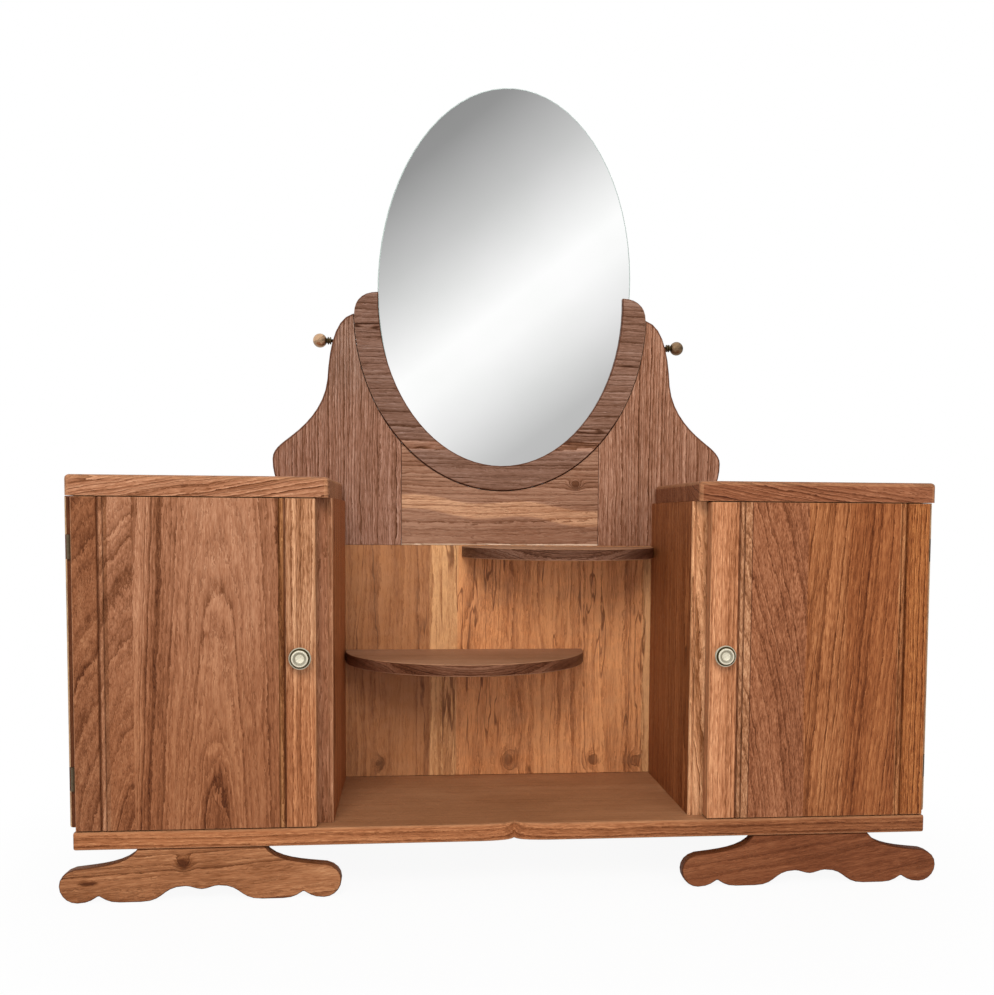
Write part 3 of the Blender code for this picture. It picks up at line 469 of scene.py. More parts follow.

# Each oak surface's own tint and figure, as sawn and laid. A knot is its place across and along the board,
# its half width and half length, and how far it lifts the years. A fade is another tint and where it starts
# and ends along the board. Where a board was glued up from two, second is the figure beyond the seam. Stripes
# are pale bands. Painted-light strips are straight painted highlights on beads and edges and painted shade in
# quirks: middle, half width and tint.
BOARDS = {
    "base_top": dict(BASE, tint="#d29e75", **CALM),
    "base_edge": dict(BASE, tint="#d79566", fade=("#b5784f", 0.05, 0.32)),
    "front_foot_left": dict(
        FOOT, tint="#d0966a", lean=(1.0, 4.0),
        knots=((-0.015, -0.022, 0.008, 0.009, 0.016), (0.009, -0.139, 0.003, 0.010, 0.004)), seed=2.0,
    ),
    "front_foot_right": dict(FOOT, tint="#9c613e", lean=(1.0, 9.0), rings=0.012, lines=0.25, seed=3.0),
    "rear_foot_left": dict(REAR_FOOT, lean=(1.0, 2.0), seed=4.0),
    "rear_foot_right": dict(REAR_FOOT, lean=(1.0, 5.0), seed=5.0),
    "left_top": dict(TOP, tint="#d9a07c", lean=(9.0, 2.0), seed=6.0),
    "right_top": dict(TOP, tint="#b07452", lean=(-9.0, -3.0), seed=8.0),
    "left_inner_side": dict(SIDE, tint="#d18656", seed=10.0),
    "right_inner_side": dict(SIDE, tint="#c58050", seed=12.0),
    "left_post": dict(POST, tint="#cd9675", lean=(0.0, 1.0), seed=17.0),
    "right_post": dict(POST, tint="#ffc494", lean=(0.0, 7.0), seed=19.0),
    "left_outer_side": dict(OUTER_SIDE, seed=14.0),
    "right_outer_side": dict(OUTER_SIDE, seed=16.0),
    "niche_back": dict(
        tint="#ba7b4c", pith=(0.03, 0.06), lean=(2.0, 0.0), rings=0.018, wander=0.055, lines=0.7,
        fibres=1.2, bands=0.8, streaks=1.5, blotches=0.8, shade=0.88, cracks=0.9, core=0.9,
        knots=(
            (-0.183, -0.156, 0.009, 0.010, 0.022), (0.013, -0.154, 0.010, 0.014, 0.026),
            (0.143, -0.156, 0.010, 0.012, 0.024), (0.208, -0.158, 0.011, 0.012, 0.022),
        ),
        second=dict(seam=-0.088, pith=(-0.02, 0.07), tint="#ffb072"),
        stripes=((-0.107, -0.064), (0.220, 0.240)), stripe_tint="#ffc387", seed=21.0,
    ),
    "half_shelf_lower": dict(SHELF, seed=23.0),
    "half_shelf_upper": dict(SHELF, seed=25.0),
    "half_shelf_lower_edge": dict(SHELF_EDGE, tint="#90624a"),
    "half_shelf_upper_edge": dict(SHELF_EDGE, tint="#8c6653"),
    "left_door_outer_stile": dict(FLAME, tint="#b37a55", pith=(0.030, 0.06), rings=0.016, seed=31.0),
    "left_door_panel": dict(
        FLAME, tint="#b77b54", pith=(-0.062, 0.06), lean=(14.0, 0.0), lines=0.5, cracks=0.15,
        second=dict(seam=-0.072, pith=(0.032, 0.030), lean=(3.6, 0.0), rings=0.011, bands=0.8, lines=0.65),
        fade=("#cb9472", -0.15, 0.20),
        # Painted highlights on the beads and painted shade beside them
        strips=((-0.1092, 0.0028, "#cb9470"), (-0.1037, 0.0024, "#a87350"), (0.1087, 0.0033, "#d29a68")),
        seed=33.0,
    ),
    "left_door_inner_stile": dict(
        STILE, tint="#d79567", pith=(0.06, 0.03), fade=("#e3ad84", -0.08, 0.06), seed=35.0,
    ),
    "right_door_inner_stile": dict(STILE, tint="#ecaa7c", pith=(-0.09, 0.03), seed=37.0),
    "right_door_panel": dict(
        FINE_FLAME, tint="#ba7d58", pith=(-0.13, 0.06),
        second=dict(
            seam=-0.020, tint="#b67243", pith=(0.16, 0.05), lean=(1.0, -4.0), rings=0.009, bands=0.5,
            lines=0.7,
        ),
        stripes=((-0.0205, 0.034),), stripe_tint="#c48252",
        # Painted highlights on the beads, and a thin line of painted shade in a quirk
        strips=((-0.1045, 0.0078, "#d7a179"), (-0.0962, 0.0006, "#7a4a30"), (0.1078, 0.0042, "#c98a5a")),
        seed=39.0,
    ),
    "right_door_outer_stile": dict(
        STILE, tint="#c57e47", pith=(0.08, 0.03), lines=1.0, fibres=1.8, seed=41.0,
    ),
    "mirror_board_left_wing": dict(
        WING, tint="#c69a85", pith=(0.10, 0.03), fade=("#b89482", 0.0, 0.10), seed=51.0,
    ),
    "mirror_board_right_wing": dict(WING, tint="#cf9f85", pith=(-0.12, 0.03), seed=53.0),
    "mirror_board_centre": dict(
        MIRROR_BOARD, tint="#b4876d", grain="X", pith=(0.08, 0.05), rings=0.0065, lines=0.6, shade=0.85,
        core=0.55, knots=((-0.016, 0.1146, 0.007, 0.009, 0.016),), stripes=((0.0117, 0.0327),),
        # The strip at 0.0759 is a painted highlight along the bottom edge
        stripe_tint="#dda984", sway=(0.055, 0.0041), strips=((0.0759, 0.0016, "#ffe0c4"),), seed=55.0,
    ),
    "mirror_crescent": dict(
        tint="#a38273", grain="X", pith=(0.16, 0.06), rings=0.009, lines=0.5, cracks=0.6,
        fade=("#ac8978", -0.16, -0.04), stripes=((0.0715, 0.0865),), stripe_tint="#c89d86", worn="#b08a70",
        wear=0.6, seed=61.0,
    ),
}


def oak_for(node_name, surface=None):
    """The oak of a board, or of one of its surfaces that differs."""
    surface = surface or node_name
    return oak(f"waxed_oak_{surface}", node_name, **BOARDS[surface])


def inner_wood(node_name, grain, face, seed):
    """Plain softwood, planed and left unpolished: pale, with faint straight rings and a dry surface."""
    tint = (*bpy.context.scene.dressing_table_colours.inner, 1.0)
    return oak(f"softwood_{node_name}", node_name, tint=tint, grain=grain, face=face, seed=seed, **SOFTWOOD)


def metal(name, colour, film, shine, roughness, film_level):
    """Metal with a brown film: bright where hands rub it, dull and darker in the hollows and in patches. The
    same film paints shade into a knob's dish and a screw's neck.
    """
    material, add, shader = new_material(name)
    place = add("TexCoord", out="Object")
    # Patches about 5 mm across, and specks under 1 mm
    patch = add("TexNoise", {"Vector": place, "Scale": 220.0, "Detail": 4.0, "Roughness": 0.6})
    speck = add("TexNoise", {"Vector": place, "Scale": 1400.0, "Detail": 2.0})
    # Marked faces: patina in hollows, and painted shade in a knob's dish and a screw's neck
    hollow = add("Attribute", out="Fac", attribute_name="hollow")
    level = add("Math", [patch, film_level], "MULTIPLY")
    level = add("Math", [speck, 0.2, level], "MULTIPLY_ADD")
    level = add("Math", [hollow, level], "ADD", use_clamp=True)
    mixed = add("Mix", {0: level, 6: (*colour, 1.0), 7: (*film, 1.0)}, **COLOUR_MIX)
    dull = add("Math", [level, 0.3, roughness], "MULTIPLY_ADD")
    bump = add("Bump", {"Strength": 0.05, "Distance": 0.0003, "Height": patch})
    fill(shader, {"Base Color": mixed, "Metallic": shine, "Roughness": dull, "Normal": bump})
    return material


def silvered_glass():
    """Old silvered float glass: a nearly perfect mirror with a faint haze of wiping marks."""
    material, add, shader = new_material("silvered_mirror_glass")
    place = add("TexCoord", out="Object")
    haze = add("TexNoise", {"Vector": place, "Scale": 9.0, "Detail": 3.0})
    tone = add("ValToRGB", [haze], stops=((0.3, "#fbfcfb"), (0.7, "#ffffff")))
    dull = add("Math", [haze, 0.02, 0.005], "MULTIPLY_ADD")
    fill(shader, {"Base Color": tone, "Metallic": 1.0, "Roughness": dull})
    return material


def ground_glass():
    """The glass's ground edge: pale green, satin, with fine grinding marks."""
    material, add, shader = new_material("ground_glass_edge")
    place = add("TexCoord", out="Object")
    marks = add("TexNoise", {"Vector": place, "Scale": 700.0, "Detail": 2.0})
    edge = bpy.context.scene.dressing_table_colours.glass_edge
    pale = [0.5 + 0.5 * channel for channel in edge]
    colour = add("Mix", {0: marks, 6: (*edge, 1.0), 7: (*pale, 1.0)}, **COLOUR_MIX)
    dull = add("Math", [marks, 0.3, 0.2], "MULTIPLY_ADD")
    fill(shader, {"Base Color": colour, "Roughness": dull})
    return material


def only(piece):
    """Makes one piece the only selected and active object."""
    bpy.ops.object.select_all(action="DESELECT")
    piece.select_set(True)
    bpy.context.view_layer.objects.active = piece


def edit(piece, select="DESELECT"):
    """Opens a piece for editing, with nothing or everything selected."""
    only(piece)
    bpy.ops.object.mode_set(mode="EDIT")
    bpy.ops.mesh.select_mode(type="EDGE")
    bpy.ops.mesh.select_all(action=select)
    return bmesh.from_edit_mesh(piece.data)


def leave(piece):
    """Closes a piece that was opened for editing."""
    bmesh.update_edit_mesh(piece.data)
    bpy.ops.object.mode_set(mode="OBJECT")
    return piece


def mark(shape, chosen, layer_name="arris", level=1.0):
    """Writes a level on the chosen faces in a layer that a material reads, and leaves 0 elsewhere."""
    layer = shape.faces.layers.float.get(layer_name) or shape.faces.layers.float.new(layer_name)
    for face in shape.faces:
        if chosen(face):
            face[layer] = level


def ease(piece, width, segments, wanted=None, layer_name="arris", level=1.0):
    """Rounds the sharp edges, or the wanted ones among them, and marks the new faces."""
    shape = edit(piece)
    for edge in shape.edges:
        sharp = len(edge.link_faces) == 2 and edge.calc_face_angle() > SHARP
        edge.select = sharp and (wanted is None or wanted(edge.verts[0].co, edge.verts[1].co))
    shape.select_flush_mode()
    bmesh.update_edit_mesh(piece.data)
    bpy.ops.mesh.bevel(offset=width, segments=segments, profile=0.5, affect="EDGES", clamp_overlap=True)
    shape = bmesh.from_edit_mesh(piece.data)
    mark(shape, lambda face: face.select, layer_name, level)
    return leave(piece)


def placed(name, mesh):
    """Puts a mesh in the scene as a piece."""
    piece = bpy.data.objects.new(name, mesh)
    bpy.context.scene.collection.objects.link(piece)
    return piece


def shaped(name, points, edges, faces):
    """A new piece of points, and the edges or faces between them."""
    mesh = bpy.data.meshes.new(name)
    mesh.from_pydata(points, edges, faces)
    return placed(name, mesh)


def block(name, low, high):
    """A box at its size and place, as a start for a board."""
    bpy.ops.object.select_all(action="DESELECT")
    bpy.ops.mesh.primitive_cube_add(size=1.0, location=(low + high) / 2, scale=high - low)
    piece = bpy.context.object
    bpy.ops.object.transform_apply(location=True, rotation=True, scale=True)
    piece.name = name
    return piece


def board(node_name, width=None, segments=3):
    """A planed board in a node's place, its arrises rounded and marked for their tint of rubbed wear and
    painted highlight.
    """
    width = width or bpy.context.scene.dressing_table_sizes.arris
    low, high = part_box(node_name)
    return ease(block(f"{node_name}_finished", low, high), width, segments)


def copy_of(node_name):
    """A merged copy of a node's solid, its flat faces whole again."""
    mesh = frame["nodes"][node_name].data.copy()
    mesh.materials.clear()
    piece = placed(f"{node_name}_finished", mesh)
    edit(piece, "SELECT")
    bpy.ops.mesh.remove_doubles(threshold=NEAR)
    bpy.ops.mesh.customdata_custom_splitnormals_clear()
    bpy.ops.mesh.dissolve_limited(angle_limit=math.radians(0.4))
    shape = bmesh.from_edit_mesh(piece.data)
    for edge in shape.edges:
        edge.smooth = True
    return leave(piece)


def mark_chamfers(piece, axis, layer_name="arris", level=1.0):
    """Marks the faces that slope between a board's flat face and its edge."""
    shape = edit(piece)
    index = "XYZ".index(axis)
    mark(shape, lambda face: 0.2 < abs(face.normal[index]) < 0.95, layer_name, level)
    return leave(piece)


def at_ends(piece, axis):
    """A test for edges that lie in the first or last plane of a piece along an axis."""
    index = "XYZ".index(axis)
    places = [corner.co[index] for corner in piece.data.vertices]
    ends = (min(places), max(places))

    def wanted(first, second):
        return any(abs(first[index] - end) < NEAR and abs(second[index] - end) < NEAR for end in ends)

    return wanted


def turned(name, profile, place, outwards, steps=48):
    """Spins a profile of (radius, distance along the axis) round an axis through a place."""
    outwards = Vector(outwards)
    side = outwards.orthogonal().normalized()
    points = [Vector(place) + side * radius + outwards * reach for radius, reach in profile]
    piece = shaped(name, points, [(index, index + 1) for index in range(len(points) - 1)], [])
    edit(piece, "SELECT")
    bpy.ops.mesh.spin(steps=steps, angle=2 * math.pi, center=place, axis=outwards)
    bpy.ops.mesh.select_all(action="SELECT")
    bpy.ops.mesh.remove_doubles(threshold=0.5 * NEAR)
    bpy.ops.mesh.normals_make_consistent(inside=False)
    return leave(piece)


def rounded(points, radius, steps=4):
    """A profile whose inner corners are rounded, where the two sides leave room."""
    smooth = [points[0]]
    for before, corner, after in zip(points, points[1:], points[2:]):
        corner, before, after = Vector(corner), Vector(before), Vector(after)
        room = min(radius, (corner - before).length * 0.45, (after - corner).length * 0.45)
        start = corner + (before - corner).normalized() * room
        end = corner + (after - corner).normalized() * room
        for step in range(steps + 1):
            t = step / steps
            smooth.append(tuple((1 - t) ** 2 * start + 2 * t * (1 - t) * corner + t * t * end))
    return smooth + [points[-1]]


def join(piece, others):
    """Makes one piece of several."""
    only(piece)
    for other in others:
        other.select_set(True)
    bpy.ops.object.join()
    return piece


def slotted_screw(name, place, outwards, turn=0.0):
    """A countersunk screw's head: a low disc with a slot across it."""
    radius = bpy.context.scene.dressing_table_sizes.screw_head
    bpy.ops.object.select_all(action="DESELECT")
    bpy.ops.mesh.primitive_cylinder_add(vertices=24, radius=radius, depth=SCREW_DEPTH)
    piece = bpy.context.object
    piece.name = name
    slot = radius * SLOT_SHARE
    for side in (-1, 1):
        edit(piece, "SELECT")
        bpy.ops.mesh.bisect(plane_co=(side * slot, 0.0, 0.0), plane_no=(1.0, 0.0, 0.0))
        leave(piece)
    shape = edit(piece)
    bpy.ops.mesh.select_mode(type="FACE")
    for face in shape.faces:
        middle = face.calc_center_median()
        face.select = face.normal.z > 0.9 and abs(middle.x) < slot
    bmesh.update_edit_mesh(piece.data)
    bpy.ops.mesh.extrude_region_move(TRANSFORM_OT_translate={"value": (0.0, 0.0, -SLOT_DEPTH)})
    leave(piece)
    ease(piece, SCREW_EASE, 2, lambda first, second: min(first.z, second.z) > SCREW_RIM)
    aim = Vector(outwards).to_track_quat("Z", "X").to_matrix().to_4x4()
    piece.data.transform(Matrix.Translation(place) @ aim @ Matrix.Rotation(turn, 4, "Z"))
    return piece


def use_second(piece, chosen):
    """Gives the chosen faces a piece's second material, and the others its first."""
    for face in piece.data.polygons:
        face.material_index = 1 if chosen(face) else 0


def dress(piece, node_name, slot, *materials):
    """Smooths a finished piece, gives it its materials and puts it in its node's place."""
    only(piece)
    bpy.ops.object.shade_smooth_by_angle(angle=SOFT)
    weighted = piece.modifiers.new("flat_faces_stay_flat", "WEIGHTED_NORMAL")
    weighted.keep_sharp = True
    bpy.ops.object.modifier_apply(modifier=weighted.name)
    if not piece.data.materials:
        for material in materials:
            piece.data.materials.append(material)
    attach(piece, frame["nodes"][node_name]["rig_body"])
    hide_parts(node_name)
    return piece


class DRESSING_OT_base(bpy.types.Operator):
    """Base board with its cusp, on four scalloped feet"""

    bl_idname = "dressing.base"
    bl_label = "Base and Feet"

    def execute(self, context):
        base = mark_chamfers(copy_of("base_board"), "Z")
        top_oak = oak_for("base_board", "base_top")
        dress(base, "base_board", "oak", top_oak, oak_for("base_board", "base_edge"))
        use_second(base, lambda face: abs(face.normal.z) < 0.9)
        for row in ("front", "rear"):
            for side_name in SIDES:
                name = f"{row}_foot_{side_name}"
                # The feet's chamfers are darkened partly as stain and partly as painted shade; their faces
                # that look up, down and sideways are painted shade under the base board
                foot = mark_chamfers(copy_of(name), "Y", "hollow", 0.8)
                mark(edit(foot), lambda face: abs(face.normal.y) < 0.2, "hollow", 0.55)
                dress(leave(foot), name, "oak", oak_for(name))
        return {"FINISHED"}


def cabinet_top(node_name, side):
    """A top board: a rounded rear corner beside the mirror, soft upper edges and a crisp underside."""
    sizes = bpy.context.scene.dressing_table_sizes
    low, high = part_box(node_name)
    inner_x = high.x if side < 0 else low.x

    def rear_corner(first, second):
        upright = abs(first.z - second.z) > 0.01
        return upright and abs(first.x - inner_x) < 1e-4 and abs(first.y - high.y) < 1e-4

    top = block(f"{node_name}_finished", low, high)
    ease(top, sizes.top_corner, 5, rear_corner)
    ease(top, sizes.top_edge, 4, lambda first, second: max(first.z, second.z) > low.z + CLEAR)
    return ease(top, 0.3 * sizes.arris, 2)


def beaded_side(node_name, side):
    """An inner side: a bead and its quirk run up the front edge that faces the niche."""
    sizes = bpy.context.scene.dressing_table_sizes
    low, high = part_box(node_name)
    r = sizes.bead
    quirk = sizes.quirk
    depth = high.y - low.y
    thick = high.x - low.x
    plan = [(0.0, depth), (0.0, r)]
    for step in range(1, 11):
        angle = math.radians(180 - 15 * step)
        plan.append((r + r * math.cos(angle), r - r * math.sin(angle)))
    plan += [(2 * r, r * 0.9), (2 * r + 0.5 * quirk, r * 0.9), (2 * r + quirk, 0.0004)]
    plan += [(2 * r + 1.4 * quirk, 0.0), (thick - sizes.arris, 0.0), (thick, sizes.arris), (thick, depth)]
    niche_x = high.x if side < 0 else low.x
    corners = [(niche_x + side * out, low.y + back, low.z) for out, back in plan]
    piece = shaped(f"{node_name}_finished", corners, [], [list(range(len(corners)))])
    edit(piece, "SELECT")
    bpy.ops.mesh.extrude_region_move(TRANSFORM_OT_translate={"value": (0.0, 0.0, high.z - low.z)})
    bpy.ops.mesh.select_all(action="SELECT")
    bpy.ops.mesh.normals_make_consistent(inside=False)
    shape = bmesh.from_edit_mesh(piece.data)
    mark(shape, lambda face: abs(face.normal.z) < 0.1 and 0.15 < abs(face.normal.x) < 0.98)
    return leave(piece)


def round_corner(piece, corner, first, second, radius):
    """Planes a straight outer corner round, between the two ways that its faces look."""
    middle = corner - (first + second) * radius
    for step in range(1, 6):
        angle = math.radians(15 * step)
        away = first * math.cos(angle) + second * math.sin(angle)
        edit(piece, "SELECT")
        bpy.ops.mesh.bisect(plane_co=middle + away * radius, plane_no=away, use_fill=True, clear_outer=True)
        leave(piece)
    return piece


def outer_side(node_name, side):
    """An outer side: square under the top, rounded at the front and where it comes in to the base board, with
    a painted highlight on its front rounding and painted shade on its front face.
    """
    sizes = bpy.context.scene.dressing_table_sizes
    low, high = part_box(node_name)
    piece = copy_of(node_name)
    shape = edit(piece)
    for corner in shape.verts:
        if corner.co.z > high.z - 0.0012:
            corner.co.z = high.z
    leave(piece)
    outer_x = high.x if side > 0 else low.x
    outwards = AXES["X"] * side
    round_corner(piece, Vector((outer_x, 0.0, low.z)), outwards, -AXES["Z"], sizes.side_corner)
    round_corner(piece, Vector((outer_x, low.y, 0.0)), outwards, -AXES["Y"], sizes.side_front)
    shape = edit(piece)
    # Painted highlight: the rounded front edge takes the pale arris tint
    mark(shape, lambda face: abs(face.normal.z) < 0.1 and 0.2 < abs(face.normal.x) < 0.98)
    # Painted shade: the narrow front face beside the door is darkened
    mark(shape, lambda face: face.normal.y < -0.97, "hollow", 0.75)
    return leave(piece)


# Softwood boards inside a cabinet: grain, face, seed of the figure, and rounding where it isn't the arris
INNER_BOARDS = {
    "back_panel": ("Z", "Y", 11.0, PANEL_EASE),
    "shelf": ("X", "Z", 13.0, None),
    "shelf_cleat_inner": ("Y", "X", 15.0, None),
    "shelf_cleat_outer": ("Y", "X", 15.0, None),
}


class DRESSING_OT_cabinets(bpy.types.Operator):
    """Tops, sides, backs, shelves and cleats of both cabinets"""

    bl_idname = "dressing.cabinets"
    bl_label = "Cabinets"

    def execute(self, context):
        for side_name, side in SIDES.items():
            top = f"{side_name}_top"
            dress(cabinet_top(top, side), top, "oak", oak_for(top))
            inner = f"{side_name}_inner_side"
            front_oak = oak_for(inner, f"{side_name}_post")
            piece = dress(beaded_side(inner, side), inner, "oak", oak_for(inner), front_oak)
            use_second(piece, lambda face: face.normal.y < -0.1)
            outer = f"{side_name}_outer_side"
            dress(outer_side(outer, side), outer, "oak", oak_for(outer))
            for part, (grain, face, seed, width) in INNER_BOARDS.items():
                name = f"{side_name}_{part}"
                wood = inner_wood(name, grain, face, seed + side)
                dress(board(name, width), name, "inner_wood", wood)
        return {"FINISHED"}


class DRESSING_OT_niche(bpy.types.Operator):
    """Niche back and its two half-round shelves"""

    bl_idname = "dressing.niche"
    bl_label = "Niche"

    def execute(self, context):
        dress(board("niche_back", NICHE_EASE), "niche_back", "oak", oak_for("niche_back"))
        for name in ("half_shelf_lower", "half_shelf_upper"):
            shelf = mark_chamfers(copy_of(name), "Z")
            dress(shelf, name, "oak", oak_for(name), oak_for(name, f"{name}_edge"))
            use_second(shelf, lambda face: abs(face.normal.z) < 0.5)
        return {"FINISHED"}


def door_board(node_name):
    """One of a door's boards: darker in its quirks, along its joints and on its stiles' slopes, with its free
    edge and ends eased and given the arris tint.
    """
    low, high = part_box(node_name)
    free_x = low.x if abs(low.x) > abs(high.x) else high.x
    if "inner" in node_name:
        free_x = low.x + high.x - free_x

    def in_quirk(face):
        depth = face.calc_center_median().y - low.y
        return 0.0008 < depth < 0.004 and face.normal.y < -0.1

    def by_joint(face):
        across = face.calc_center_median().x
        return in_quirk(face) and min(across - low.x, high.x - across) < 0.002

    def slopes(face):
        return face.normal.y < -0.2 and 0.3 < abs(face.normal.x) < 0.95

    def free_edge(first, second):
        return abs(first.x - free_x) < NEAR and abs(second.x - free_x) < NEAR

    piece = copy_of(node_name)
    shape = edit(piece)
    if "panel" in node_name:
        mark(shape, in_quirk, "hollow", 0.35)
        mark(shape, by_joint, "hollow", 0.6)
        leave(piece)
    else:
        mark(shape, slopes, "hollow", 0.4)
        ease(leave(piece), bpy.context.scene.dressing_table_sizes.arris, 3, free_edge)
    return ease(piece, END_EASE, 2, at_ends(piece, "Z"))


# Screws in a door's batten: their places along it and up it, as shares, and how far their slots are turned
SCREWS_ALONG = ((0.06, 0.4), (0.30, 1.1), (0.70, 2.0), (0.94, 0.2))
SCREWS_UP = ((0.3, 0.0), (0.7, 1.3))


def door_batten(node_name, seed):
    """A batten with two rows of slotted screws."""
    iron = bpy.data.materials["browned_iron"]
    low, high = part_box(node_name)
    batten = board(node_name)
    batten.data.materials.append(inner_wood(node_name, "X", "Y", seed))
    batten.data.materials.append(iron)
    screws = []
    for along, turn in SCREWS_ALONG:
        for up, extra in SCREWS_UP:
            place = (low.x + along * (high.x - low.x), high.y - SCREW_SUNK, low.z + up * (high.z - low.z))
            screw = slotted_screw("screw", place, AXES["Y"], turn + extra)
            screw.data.materials.append(iron)
            screws.append(screw)
    return join(batten, screws)


class DRESSING_OT_doors(bpy.types.Operator):
    """Door boards and the battens behind them"""

    bl_idname = "dressing.doors"
    bl_label = "Doors"

    def execute(self, context):
        for name in BOARDS:
            if "_door_" in name:
                dress(door_board(name), name, "oak", oak_for(name))
        for side_name, side in SIDES.items():
            for level in ("upper", "lower"):
                name = f"{side_name}_door_{level}_batten"
                dress(door_batten(name, 45.0 + side), name, "oak")
        return {"FINISHED"}


# A knob's outline from the middle of its dish, over the rim to the neck: radius and depth, in its own radii
KNOB_OUTLINE = ((0.0, 0.24), (0.18, 0.225), (0.36, 0.16), (0.50, 0.05), (0.57, 0.0))
KNOB_OUTLINE += ((0.70, 0.0), (0.76, 0.06), (0.79, 0.24), (0.86, 0.25))
KNOB_OUTLINE += ((0.94, 0.21), (1.0, 0.29), (1.0, 0.42), (0.90, 0.50), (0.62, 0.58), (0.46, 0.66))
KNOB_NECK = 0.46
KNOB_STEM = 0.18
# A knob's seat stands this far off its rose, in metres
SEAT_GAP = 0.0003
# A rose's outline: radius in its own radii and depth in its own thickness; its bore is in the knob's radii
ROSE_OUTLINE = ((0.72, 0.0), (0.80, 0.35), (0.95, 0.4), (1.0, 0.7), (1.0, 1.0))
ROSE_BORE = 0.2


def door_knob(node_name):
    """A knob with a dish and a rim, its film left dark in the groove between them, and painted shade in a
    ring round the dish.
    """
    low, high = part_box(node_name)
    r = (high.x - low.x) / 2
    middle = (low.x + r, low.y, (low.z + high.z) / 2)
    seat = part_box(f"{node_name}_rose")[0].y - low.y - SEAT_GAP
    tail = high.y - low.y
    neck = KNOB_NECK * r
    stem = KNOB_STEM * r
    profile = [(out * r, -down * r) for out, down in KNOB_OUTLINE]
    profile += [(neck, -seat), (stem, -seat), (stem, -tail), (0.0, -tail)]
    knob = turned(f"{node_name}_finished", rounded(profile, KNOB_EASE), middle, -AXES["Y"], 56)

    def radius_of(face):
        place = face.calc_center_median()
        return math.hypot(place.x - middle[0], place.z - middle[2]) / r

    def in_groove(face):
        return 0.75 < radius_of(face) < 0.91 and face.calc_center_median().y < middle[1] + 0.4 * r

    shape = edit(knob)
    mark(shape, lambda face: radius_of(face) >= 0.75, "hollow", 0.3)
    mark(shape, in_groove, "hollow", 0.9)
    # Painted shade: a dark ring round the dish
    mark(shape, lambda face: 0.40 < radius_of(face) < 0.60, "hollow", 0.5)
    return leave(knob)


def knob_rose(knob_name):
    """The turned plate between a knob and its door."""
    knob_low, knob_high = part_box(knob_name)
    low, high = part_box(f"{knob_name}_rose")
    knob_r = (knob_high.x - knob_low.x) / 2
    bore = ROSE_BORE * knob_r
    r = (high.x - low.x) / 2
    thick = high.y - low.y
    profile = [(out * r, -down * thick) for out, down in ROSE_OUTLINE]
    profile = [(bore, 0.0), *profile, (bore, -thick), (bore, 0.0)]
    middle = (knob_low.x + knob_r, low.y, (knob_low.z + knob_high.z) / 2)
    return turned(f"{knob_name}_rose_finished", profile, middle, -AXES["Y"])


def eased_copy(node_name, width, axis):
    """A copy of a small part, eased along the edges of its end faces."""
    piece = copy_of(node_name)
    return ease(piece, width, 2, at_ends(piece, axis))


class DRESSING_OT_knobs(bpy.types.Operator):
    """Turned brass knobs with their roses and nuts"""

    bl_idname = "dressing.knobs"
    bl_label = "Door Knobs"

    def execute(self, context):
        brass = bpy.data.materials["patinated_brass"]
        for side_name in SIDES:
            name = f"{side_name}_door_knob"
            dress(door_knob(name), name, "aged_brass", brass)
            dress(knob_rose(name), f"{name}_rose", "aged_brass", brass)
            dress(eased_copy(f"{name}_nut", SMALL_EASE, "Y"), f"{name}_nut", "aged_brass", brass)
        return {"FINISHED"}


class DRESSING_OT_hinges(bpy.types.Operator):
    """Butt hinges, their leaves eased at the ends"""

    bl_idname = "dressing.hinges"
    bl_label = "Hinges"

    def execute(self, context):
        iron = bpy.data.materials["browned_iron"]
        for side_name in SIDES:
            for level in ("upper", "lower"):
                for leaf in ("carcass_leaf", "door_leaf"):
                    name = f"{side_name}_{level}_hinge_{leaf}"
                    dress(eased_copy(name, LEAF_EASE, "Z"), name, "dark_iron", iron)
        return {"FINISHED"}


class DRESSING_OT_catches(bpy.types.Operator):
    """Ball catches under the tops and their strikes on the doors"""

    bl_idname = "dressing.catches"
    bl_label = "Catches"

    def execute(self, context):
        brass = bpy.data.materials["patinated_brass"]
        for side_name in SIDES:
            for part in ("catch", "catch_strike"):
                name = f"{side_name}_{part}"
                dress(eased_copy(name, SMALL_EASE, "Y"), name, "aged_brass", brass)
        return {"FINISHED"}


def hollow_oval():
    """Centre, half width and half height of the mirror board's hollow, at mid-thickness."""
    low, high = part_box("mirror_crescent")
    glass_low, glass_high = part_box("mirror_glass")
    middle = Vector((0.0, (low.y + high.y) / 2, (glass_low.z + glass_high.z) / 2 - HOLLOW_DROP))
    return middle, high.x, middle.z - low.z


HOLLOW = hollow_oval()


def reach_of(place):
    """Where a point lies on the hollow's oval: 1 on the edge, less inside it."""
    middle, wide, tall = HOLLOW
    return math.hypot(place.x / wide, (place.z - middle.z) / tall)


def swell_rim(piece, grow):
    """Crowns the edge along the mirror's hollow, so that the gap for the tilt lets no light through."""
    middle, wide, tall = HOLLOW
    edit(piece, "SELECT")
    bpy.ops.mesh.bisect(plane_co=middle, plane_no=(0.0, 1.0, 0.0))
    shape = bmesh.from_edit_mesh(piece.data)
    for corner in shape.verts:
        if abs(corner.co.y - middle.y) < NEAR and abs(reach_of(corner.co) - 1.0) < 0.025:
            away = Vector((corner.co.x / wide**2, 0.0, (corner.co.z - middle.z) / tall**2))
            corner.co += away.normalized() * grow
    return leave(piece)


